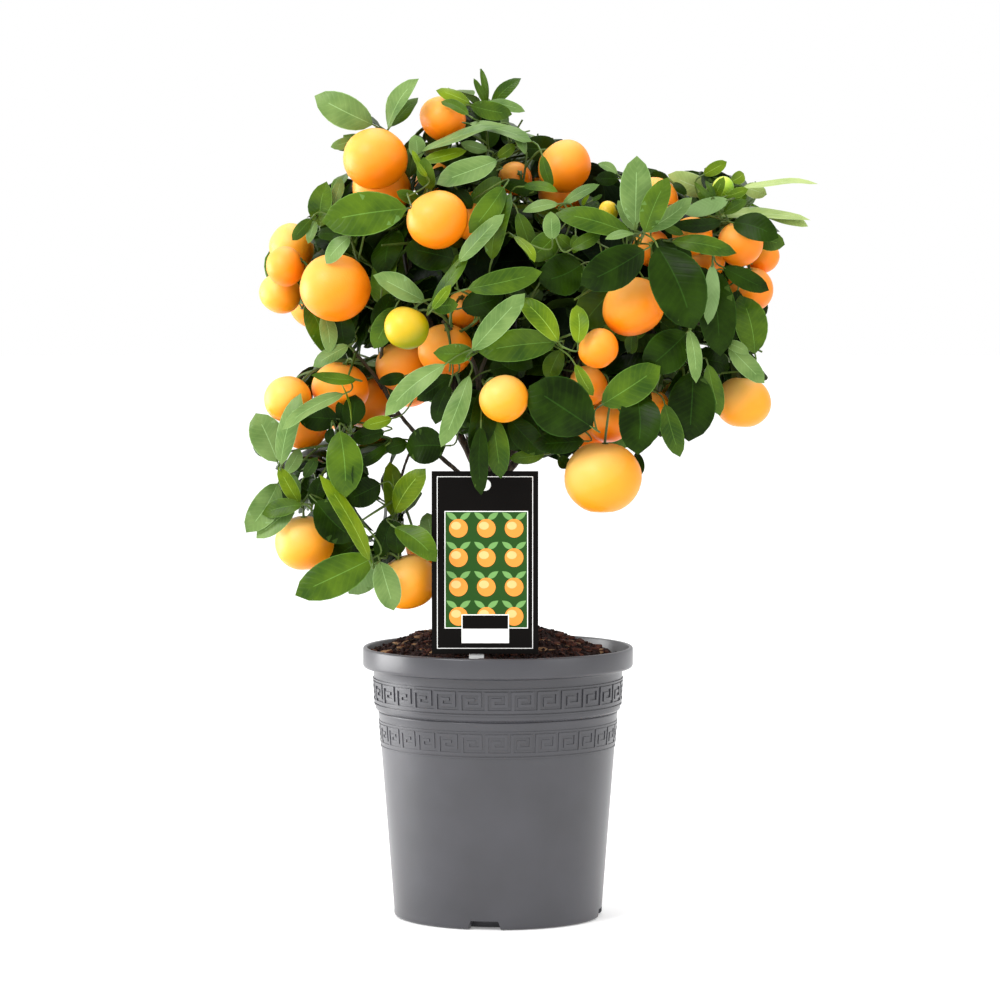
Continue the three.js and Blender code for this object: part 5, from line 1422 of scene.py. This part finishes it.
def leaf_frame(root, tip, side, level, draw):
    """A leaf's upper face turns towards a side of the crown, and the more level it lies, to the sky."""
    direction = (tip - root).normalized()
    normal = Vector((0, 0, LIFT + 1.3 * level)) + side * (1 - level) + any_way(draw) * SCATTER
    return direction, square_to(direction, normal)


def seeded_leaf(mass, twig, k):
    """Turns one leaf of a twig about it until it crosses nothing, and else leaves it out."""
    draw = random_stream(mass["number"], twig["number"], STREAM["seeded leaf"] + k)
    t = mix(*LEAF_SPAN, k / twig["leaves"])
    root = on_curve(twig["path"], t)
    tangent = heading(twig["path"], t)
    side = UP.cross(tangent).normalized()
    outward = (root - CROWN_CENTRE).normalized()
    for attempt in range(LEAF_TRIES):
        cone = math.radians(LEAF_CONE * mix(*CONE_SPREAD, draw()))
        angle = k * GOLDEN_ANGLE + twig["number"] + attempt * MORE_TURN + draw()
        way = tangent * math.cos(cone) + turned(side, tangent, math.degrees(angle)) * math.sin(cone)
        length = mix(LONGEST, SHORTEST, 0.7 * draw() + SHORTER * attempt)
        width = length * WIDTH_TO_LENGTH * mix(*WIDTH_SPREAD, draw())
        direction, normal = leaf_frame(root, root + way * length, outward, LEVEL, draw)
        leaf = {"root": root, "width": width, "length": length, "direction": direction, "normal": normal,
                "arch": SEEDED_ARCH}
        if past_reach(mass, root + direction * length):
            continue
        if settles(leaf, mass["name"], all_but_twigs_of(mass)):
            leaves.append({**leaf, "mass": mass["name"]})
            return


# %% The rule: deep leaves
FILL_TRIES, FILL_DEPTH, FILL_LENGTH = 5000, (-38, 90), (58, 30)
FILL_WIDTH, FILL_MIDDLE, FILL_ARCH = 0.52, 0.55, 0.06  # shares of the length
FILL_SLOPE, FILL_FACING, FILL_SCATTER = (-0.4, 0.4), Vector((0, -1, 0.4)), 0.8
LOOK_AGAIN = 50  # tries between two counts of the cells that are still open
FILL_NUMBERS = 2000  # the first key of these leaves' twiglets


def fill_the_thick():
    """Deep leaves, in the inner green of painted shade, wherever the camera would look right through the
    thick of the crown.
    """
    draw, spots, count = random_stream(STREAM["deep leaves"]), twig_spots(), 0
    for number in range(FILL_TRIES):
        if number % LOOK_AGAIN == 0:
            still_open = np.argwhere(thick & ~seen)
        if not len(still_open):
            break
        u, v = still_open[int(draw() * len(still_open))]
        if seen[u, v]:
            continue
        middle = seen_at(u + MAP_LOW[0], v + MAP_LOW[1], mix(*FILL_DEPTH, draw() ** 2))
        angle, length = draw() * math.tau, mix(*FILL_LENGTH, number / FILL_TRIES)
        direction = Vector((math.cos(angle), mix(*FILL_SLOPE, draw()), math.sin(angle))).normalized()
        facing = FILL_FACING + any_way(draw) * FILL_SCATTER
        leaf = {"root": middle - direction * length * FILL_MIDDLE, "width": length * FILL_WIDTH,
                "length": length, "direction": direction, "normal": square_to(direction, facing),
                "arch": FILL_ARCH, "green": "inner"}
        if settles(leaf, "deep"):
            join_to_twigs(leaf, FILL_NUMBERS + number, spots)
            count += 1
    print(count, "deep leaves;", int((thick & ~seen).sum()), "square mm are still open")


# %% The rule: leaves on every side
FLANK_TRIES, FLANK_REACH, FLANK_EVENNESS = 450, 0.66, 0.4  # tries for each mass, and how far out they go
FLANK_TURN, FLANK_LIFT, FLANK_SCATTER = 0.7, 0.5, 0.5  # how far leaves turn at random, and faces to the sky
FLANK_NUMBERS = 8000  # the first key of these leaves' twiglets


def fill_the_flanks():
    """More leaves round every hub, behind what the camera sees, so that each side of the crown is full."""
    spots, count = twig_spots(), 0
    for mass in masses:
        draw = random_stream(mass["number"], STREAM["flank leaves"])
        for k in range(FLANK_TRIES):
            way = any_way(draw)
            root = mass["hub"] + way * mass["room"] * FLANK_REACH * draw() ** FLANK_EVENNESS
            length = mix(LONGEST, SHORTEST, k / FLANK_TRIES)
            direction = (way + any_way(draw) * FLANK_TURN).normalized()
            outward = (root - CROWN_CENTRE).normalized()
            facing = outward + UP * FLANK_LIFT + any_way(draw) * FLANK_SCATTER
            leaf = {"root": root, "width": length * WIDTH_TO_LENGTH, "length": length, "direction": direction,
                    "normal": square_to(direction, facing), "arch": SEEDED_ARCH}
            if past_reach(mass, root + direction * length):
                continue
            if settles(leaf, mass["name"], all_but_twigs_of(mass)):
                join_to_twigs(leaf, FLANK_NUMBERS + count, spots)
                count += 1
    print(count, "leaves more on the flanks")


# %% [markdown]
# The order of growth matters. Stems and shoots come first, then the fruit and the listed leaves, which
# have places of their own. Side twigs, seeded leaves and the two fillings keep clear of all of those.

# %% Grow the whole crown
masses = []
for name, (bough, hub, room, more, shoots, fruits) in MASSES.items():
    place = sum(other["bough"] == bough for other in masses)
    fruits = [{"centre": Vector(f[:3]), "radius": f[3] / 2, "look": (*f, "ripe")[4]} for f in fruits]
    masses.append({"name": name, "number": len(masses), "bough": bough, "place": place, "hub": Vector(hub),
                   "room": room, "more": more, "shoots": shoots, "fruit": fruits})
    fruit_places += fruits
fruit_centres = np.array([fruit["centre"] for fruit in fruit_places])
fruit_radii = np.array([fruit["radius"] for fruit in fruit_places])
for name, (*_, radii) in BOUGHS.items():
    remember(name, "limb", *tangled(bough_path(name), radii[0]))
for mass in masses:
    grow_stem_and_shoots(mass)
for mass in masses:
    for fruit in mass["fruit"]:
        hang_fruit(mass, fruit)
        note_fruit(fruit)
grow_leading()
covered = ~np.isinf(front)
thick = ~spread(~spread(covered, WIDE_GAP), WIDE_GAP) & np.any([disc_cells(*circle) for circle in THICK], 0)
for circle in SKY:
    thick &= ~disc_cells(*circle) | covered
leafy = thick | ~spread(~spread(covered, NARROW_GAP), NARROW_GAP)
for mass in masses:
    grow_side_twigs(mass)
for mass in masses:
    for twig in mass["twigs"]:
        for k in range(twig["leaves"]):
            seeded_leaf(mass, twig, k)
fill_the_thick()
fill_the_flanks()
print(len(leaves), "leaves,", len(twigs), "twigs,", len(fruit_places), "fruits")

# %% [markdown]
# ## Leaf meshes
# A blade could be one flat card, but a citrus leaf folds a little along its midrib, arches along its
# length, curls at its rim and has a waxed face and a dull one. So each blade is a closed skin of 81
# faces: seven strips on top, the middle one being the pale midrib and the two outer ones narrow rims in
# the same pale material as a painted highlight, and two below. One set of faces serves every leaf, and
# only the points are worked out anew.

# %% Blades: faces
STATIONS = 9  # from the root, 0, to the tip, 9
TOP_COLUMNS = (-1, -0.96, -0.5, -0.025, 0.025, 0.5, 0.96, 1)  # rim, blade, midrib, blade, rim
MIDRIB = len(TOP_COLUMNS) // 2 - 1
RING = len(TOP_COLUMNS) + 1  # points at one station: the top ones and one under the midrib
UPPER_FACE, PALE_FACE, UNDERSIDE = 0, 1, 2  # the places of a green's three materials


def blade_topology():
    """Faces of a blade, each with its material, and how many points it has."""
    row = lambda k: 1 + RING * (k - 1)
    tip = row(STATIONS)
    last = len(TOP_COLUMNS) - 1
    faces, looks = [], []

    def strip(k, a, b, look):
        """The face between two columns, a and b, from one station to the next."""
        if k == 0:
            faces.append((0, row(1) + b, row(1) + a))
        elif k == STATIONS - 1:
            faces.append((row(k) + a, row(k) + b, tip))
        else:
            faces.append((row(k) + a, row(k) + b, row(k + 1) + b, row(k + 1) + a))
        looks.append(look)

    for k in range(STATIONS):
        for c in range(last):
            # The rim strips take the midrib's pale material as a painted highlight along the edge.
            pale = c in (0, last - 1) or (c == MIDRIB and k < STATIONS - 2)
            strip(k, c + 1, c, PALE_FACE if pale else UPPER_FACE)
        strip(k, 0, last + 1, UNDERSIDE)
        strip(k, last + 1, last, UNDERSIDE)
    return faces, looks, tip + 1


BLADE_FACES, BLADE_LOOKS, BLADE_POINTS = blade_topology()
print("a blade has", len(BLADE_FACES), "faces and", BLADE_POINTS, "points")

# %% Blades: points
BLADE_THICKNESS = 0.45  # mm at the midrib
FOLD, CURL = 0.25, 0.15  # how far the halves rise and the rims bend down, as shares of the half width
RIPPLE, WAVES = 0.04, 9  # how high the rim's ripples are, as a share of the width, and radians along it
SWAY, TWIST = 0.1, 34  # how far a blade bends aside, as a share of its length, and twists, in degrees
DROOP, MORE_DROOP, DROOP_FROM = 0.02, 0.1, 0.72  # how far the tip bends down, and from where
FOOT_SHARE, TIP_CROWDING = 0.85, 1.06  # where a blade starts on its stalk; stations closer at the root


def foot_of(leaf):
    """How much of a leaf's length is stalk, in mm."""
    return HIDDEN_FOOT if leaf.get("listed") else PETIOLE


def blade_shape(leaf, draw):
    """Points of one blade in mm, and its UV: across and along."""
    length, width = leaf["length"], leaf["width"]
    start = foot_of(leaf) / length * FOOT_SHARE
    direction, normal = np.array(leaf["direction"]), np.array(leaf["normal"])
    across = np.cross(direction, normal)
    sway, fold = (draw() - 0.5) * SWAY, FOLD * (0.5 + draw())
    curl, phase, droop = CURL * (0.4 + 1.2 * draw()), draw() * math.tau, DROOP + MORE_DROOP * draw()
    twist = math.radians((draw() - 0.5) * TWIST)
    points, places = [], []

    def at(t, v, lift):
        """Adds the point at t along and v across; lift is 0.5 on the upper face and -0.5 on the lower."""
        along = start + (1 - start) * t
        half = width / 2 * blade_outline(min(max(t, 0), 1))
        bend = leaf["arch"] * 4 * along * (1 - along) * length
        side = sway * length * math.sin(math.pi * t)
        turn = twist * (t - 0.35)
        right = across * math.cos(turn) + normal * math.sin(turn)
        up = normal * math.cos(turn) - across * math.sin(turn)
        rise = fold * abs(v) * half - curl * v * v * half
        rise += RIPPLE * width * math.sin(phase + WAVES * t * np.sign(v or 1)) * v * v
        rise += lift * BLADE_THICKNESS * (1 - abs(v)) - droop * width * max(0, t - DROOP_FROM) * 3
        point = np.array(leaf["root"]) + direction * length * along + across * side + normal * bend
        points.append(point + right * v * half + up * rise)
        places.append((0.5 + 0.5 * v, t))

    at(0, 0, 0)
    for k in range(1, STATIONS):
        t = (k / STATIONS) ** TIP_CROWDING
        for v in TOP_COLUMNS:
            at(t, v, 0.5)
        at(t, 0, -0.5)
    at(1, 0, 0)
    return np.array(points), places


# %% Blades: one piece for each green
INSIDE_FROM = 20  # mm deep
# The roll's height part is painted light, giving lighter greens higher up, and its depth part is painted
# shade, giving darker greens inside.
BY_LEAF, BY_SPRAY, PAINTED_LIGHT_BY_HEIGHT, PAINTED_SHADE_BY_DEPTH = 0.5, 0.2, 0.3, 0.3  # what the roll for a green is made of
DEALT = ((0.35, "deep"), (0.62, "mid"), (0.74, "sage"))  # the roll below which a leaf gets a green


def mark_rims(mesh):
    """Keeps the edges of every blade sharp."""
    ends = np.empty(len(mesh.edges) * 2, np.int64)
    mesh.edges.foreach_get("vertices", ends)
    ends = (ends % BLADE_POINTS).reshape(-1, 2)
    column = (ends - 1) % RING
    on_rim = (column == 0) | (column == len(TOP_COLUMNS) - 1) | (ends == 0) | (ends == BLADE_POINTS - 1)
    mesh.attributes.new("sharp_edge", "BOOLEAN", "EDGE").data.foreach_set("value", on_rim.all(1))


def leaf_piece(name, chosen, looks):
    """Joins the chosen leaves into one piece."""
    bodies, places = zip(*(blade_shape(leaf, random_stream(k, STREAM["blade"])) for k, leaf in chosen))
    mesh = joined(name, bodies, [BLADE_FACES] * len(bodies))
    mesh.polygons.foreach_set("material_index", BLADE_LOOKS * len(bodies))
    corner_points = [i for face in BLADE_FACES for i in face]
    uv = np.array([[place[i] for i in corner_points] for place in places])
    mesh.uv_layers.new(name="blade").data.foreach_set("uv", uv.ravel())
    mark_rims(mesh)
    add_piece(name, mesh, list(MASSES), looks)


def green_of(number, leaf):
    """Deals a leaf its green: mostly by its spray, so that one twig's leaves look alike, lighter higher up as
    painted light and darker inside the crown as painted shade.
    """
    if "green" in leaf:
        return leaf["green"]
    draw = random_stream(number, STREAM["green"])
    spray = random_stream(list(MASSES).index(leaf["mass"]), STREAM["spray"])()
    inside = leaf["root"].y < INSIDE_FROM
    roll = BY_LEAF * draw() + BY_SPRAY * spray + PAINTED_LIGHT_BY_HEIGHT * (leaf["root"].z - 300) / 300 - PAINTED_SHADE_BY_DEPTH * inside
    return next((green for limit, green in DEALT if roll < limit), "young")


dealt = [green_of(k, leaf) for k, leaf in enumerate(leaves)]
for green, looks in LEAF_LOOKS.items():
    leaf_piece("leaves_" + green, [(k, leaf) for k, leaf in enumerate(leaves) if dealt[k] == green], looks)

# %% [markdown]
# ## Twigs, petioles and stalks
# Hundreds of thin stalks are plain tubes with five sides, joined into three meshes: woody stems, green
# shoots and twigs, and petioles with fruit stalks. Each tube follows its curve and tapers. Stems are a
# year older than shoots, so they are woody, and petioles and fruit stalks are green.

# %% Tubes
TUBE_SIDES = 5
SHARP_TUBE_EDGE = 60  # degrees
PETIOLE_RADII, PETIOLE_END = (0.75, 0.5), 0.04  # mm, and how far it runs into the midrib: a share


def tube(path, root, tip, steps):
    """Points and faces of a tapering tube round a curve, closed at both ends."""
    stops = stops_on(path, steps)
    side = heading(path, 0).orthogonal().normalized()
    angles = [math.tau * i / TUBE_SIDES for i in range(TUBE_SIDES)]
    points, faces = [], []
    for k, stop in enumerate(stops):
        way = heading(path, k / steps)
        side = square_to(way, side)
        other = way.cross(side)
        radius = mix(root, tip, k / steps)
        points += [stop + (side * math.cos(a) + other * math.sin(a)) * radius for a in angles]
    for base in range(0, steps * TUBE_SIDES, TUBE_SIDES):
        for i in range(TUBE_SIDES):
            j = (i + 1) % TUBE_SIDES
            faces.append((base + i, base + j, base + TUBE_SIDES + j, base + TUBE_SIDES + i))
    faces.append(tuple(reversed(range(TUBE_SIDES))))
    faces.append(tuple(steps * TUBE_SIDES + i for i in range(TUBE_SIDES)))
    return np.array(points), faces


def twig_tubes(kinds, steps):
    """A tube for every twig of some kinds."""
    return [tube(path, root, tip, steps) for kind, path, root, tip in twigs if kind in kinds]


def petiole(leaf):
    """The short stalk that carries a blade: it leaves the twig and runs into the midrib."""
    root, along = leaf["root"], leaf["direction"] * leaf["length"]
    share = foot_of(leaf) / leaf["length"]
    end = root + along * share + leaf["normal"] * leaf["length"] * leaf["arch"] * 4 * share * (1 - share)
    return tube([root, root.lerp(end, 0.5), end + along * PETIOLE_END], *PETIOLE_RADII, 2)


for name, tubes, look in (
    ("woody_stems", twig_tubes(["stem"], 10), woody_twig),
    ("green_shoots", twig_tubes(["shoot", "side twig", "twiglet"], 7), green_twig),
    ("petioles_and_stalks", twig_tubes(["stalk"], 5) + [petiole(leaf) for leaf in leaves], green_twig),
):
    mesh = joined(name, *zip(*tubes))
    mesh.set_sharp_from_angle(angle=math.radians(SHARP_TUBE_EDGE))
    add_piece(name, mesh, list(MASSES), [look])

# %% [markdown]
# ## Fruit
# A calamondin is a slightly flattened ball with a shallow dimple round its stalk and a smaller one at
# the other end, and no two are quite alike. A sphere from bmesh is the base, and its points are moved by
# those facts and a little noise. Each fruit is turned so that its dimple meets its stalk, which ends in
# a small green calyx of five lobes.

# %% Fruit
FRUIT_COLUMNS, FRUIT_RINGS = 32, 20
FRUIT_FLATNESS, FLATNESS_SPREAD = 0.93, (0.97, 1.02)
STALK_DIMPLE, END_DIMPLE = (0.07, 0.28), (0.035, 0.2)  # depth as a share of the radius; width in radians
LUMPINESS, LUMPS_ACROSS = 0.035, 1.1
TOWARDS_KEY_LIGHT = np.array((-0.5, -0.35, 0.79))  # the way to the light
ball, ball_faces = template(bmesh.ops.create_uvsphere, u_segments=FRUIT_COLUMNS, v_segments=FRUIT_RINGS,
                            radius=1.0)


def placed_on(fruit, points):
    """Points in mm about a fruit's middle, with +Z turned to its stalk, brought to its place."""
    turn = np.array(UP.rotation_difference(fruit["up"]).to_matrix())
    return points @ turn.T + np.array(fruit["centre"])


def dimple(angle, depth, width):
    """How much a dimple lowers the peel at an angle from its middle."""
    return depth * math.exp(-((angle / width) ** 2))


def fruit_points(fruit, number):
    """Points of one fruit in mm."""
    draw = random_stream(number, STREAM["fruit"])
    flat, shift = FRUIT_FLATNESS * mix(*FLATNESS_SPREAD, draw()), draw() * 50
    points = []
    for x, y, z in ball:
        polar = math.acos(max(-1, min(1, z)))
        size = 1 - dimple(polar, *STALK_DIMPLE) - dimple(math.pi - polar, *END_DIMPLE)
        lump = noise.noise((x * LUMPS_ACROSS + shift, y * LUMPS_ACROSS, z * LUMPS_ACROSS))
        size += lump * LUMPINESS
        points.append((x * size, y * size, z * size * flat))
    return placed_on(fruit, np.array(points) * fruit["radius"])


for stage, look in PEELS.items():
    chosen = [(k, fruit) for k, fruit in enumerate(fruit_places) if fruit["look"] == stage]
    bodies = [fruit_points(fruit, k) for k, fruit in chosen]
    mesh = joined("fruit_" + stage, bodies, [ball_faces] * len(chosen))
    # Painted light: each point's share of the way towards the key light, which sets the peel's painted shade
    # and painted light.
    side = [(body - fruit["centre"]) @ TOWARDS_KEY_LIGHT / fruit["radius"] for body, (_, fruit) in zip(bodies, chosen)]
    mesh.attributes.new("key_light_side", "FLOAT", "POINT").data.foreach_set("value", np.concatenate(side))
    add_piece("fruit_" + stage, mesh, list(MASSES), [look])

# %% Calyces
CALYX_RADIUS, CALYX_NOTCH = 2.6, 0.62  # mm, and how far in the bays between its lobes are: a share
CALYX_POINTS = 10  # round its rim: five lobes and five bays
CALYX_LOW, CALYX_HIGH, CALYX_MIDDLE, LOBE_FALL = -0.7, 0.35, 0.9, 0.25  # heights in mm
CALYX_SEAT = 0.95  # its place as a share of the fruit's half height


def calyx(fruit):
    """Five blunt lobes round the stalk, lying in the fruit's dimple."""
    sizes = [CALYX_RADIUS * (1 if k % 2 == 0 else CALYX_NOTCH) for k in range(CALYX_POINTS)]
    rim = [(r, math.tau * k / CALYX_POINTS) for k, r in enumerate(sizes)]
    points = [(0, 0, CALYX_MIDDLE), (0, 0, CALYX_LOW)]
    points += [(r * math.cos(a), r * math.sin(a), CALYX_HIGH - LOBE_FALL * r / CALYX_RADIUS) for r, a in rim]
    points += [(r * math.cos(a), r * math.sin(a), CALYX_LOW) for r, a in rim]
    top = fruit["radius"] * FRUIT_FLATNESS * CALYX_SEAT
    return placed_on(fruit, np.array(points) + (0, 0, top))


ROUND = [(k, (k + 1) % CALYX_POINTS) for k in range(CALYX_POINTS)]
UPPER, LOWER = 2, 2 + CALYX_POINTS  # the numbers of the rims' first points, after the two middles
CALYX_FACES = [(0, UPPER + a, UPPER + b) for a, b in ROUND] + [(1, LOWER + b, LOWER + a) for a, b in ROUND]
CALYX_FACES += [(UPPER + a, LOWER + a, LOWER + b, UPPER + b) for a, b in ROUND]
calyces = joined("calyces", [calyx(fruit) for fruit in fruit_places], [CALYX_FACES] * len(fruit_places))
add_piece("calyces", calyces, list(MASSES), [green_twig])

# %% [markdown]
# ## Stage and light
# Catalogue pictures of plants are high key: a white surround, a large soft light from the upper left,
# and a weaker one from the right, so that the pot's edges pick up white and shadows stay soft. The
# floor is plain and pale. The Standard view keeps the whites white and the oranges clean.

# %% Stage
PAPER_FIBRES = 1.5  # mm
FLOOR_RADIUS, FLOOR_DROP = 14, 0.0004  # metres; the floor lies just under the pot
paper, tree, shader, coords = new_material("white_background_paper", Roughness=0.9,
                                           Emission_Color=(1, 1, 1, 1), Emission_Strength=0.2)
fibre = node(tree, "TexNoise", {"Scale": 1 / (PAPER_FIBRES * MM), "Detail": 2}, {"Vector": coords})
whites = node(tree, "ValToRGB", {"stops": [(0.3, "#F7F7F7"), (0.7, "#FAFAFA")]}, {0: fibre})
feed(shader, {"Base Color": whites})
floor_shape = bmesh.new()
bmesh.ops.create_circle(floor_shape, cap_ends=True, segments=64, radius=FLOOR_RADIUS)
bmesh.ops.translate(floor_shape, vec=(0, 0, -FLOOR_DROP), verts=floor_shape.verts)
paper_floor = new_object("paper_floor", mesh_of(floor_shape, "paper_floor"))
paper_floor.data.materials.append(paper)
paper_floor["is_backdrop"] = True


# %% Lights
def soft_box(name, place, target, size, watts):
    """A square soft light that faces its target, in metres."""
    data = bpy.data.lights.new(name, "AREA")
    data.shape, data.size, data.energy = "SQUARE", size, watts
    lamp = new_object(name, data)
    lamp.location = place
    lamp.rotation_euler = (Vector(target) - Vector(place)).to_track_quat("-Z", "Y").to_euler()


soft_box("key_light", (-1.5, -1.7, 1.9), (0, 0, 0.4), 1.1, 42)
soft_box("fill_light", (1.9, -1.2, 0.9), (0, 0, 0.3), 1.4, 9)
soft_box("side_light", (-1.4, 0.3, 0.2), (0, 0, 0.12), 0.9, 22)
soft_box("top_light", (0.1, 0.5, 2.2), (0, 0, 0.3), 1.6, 16)
world = bpy.data.worlds.new("white_surround")
world.use_nodes = True
background = world.node_tree.nodes["Background"]
background.inputs["Color"].default_value = (1, 1, 1, 1)
background.inputs["Strength"].default_value = 1.0
bpy.context.scene.world = world
bpy.context.scene.view_settings.view_transform = "Standard"
bpy.context.scene.view_settings.look = "None"

# %% [markdown]
# ## Finish
# The last cell prints the box of the dressed plant.

# %% Sizes, and the end
low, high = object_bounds()
print("visual box:", [round(x, 3) for x in (*low, *high)])
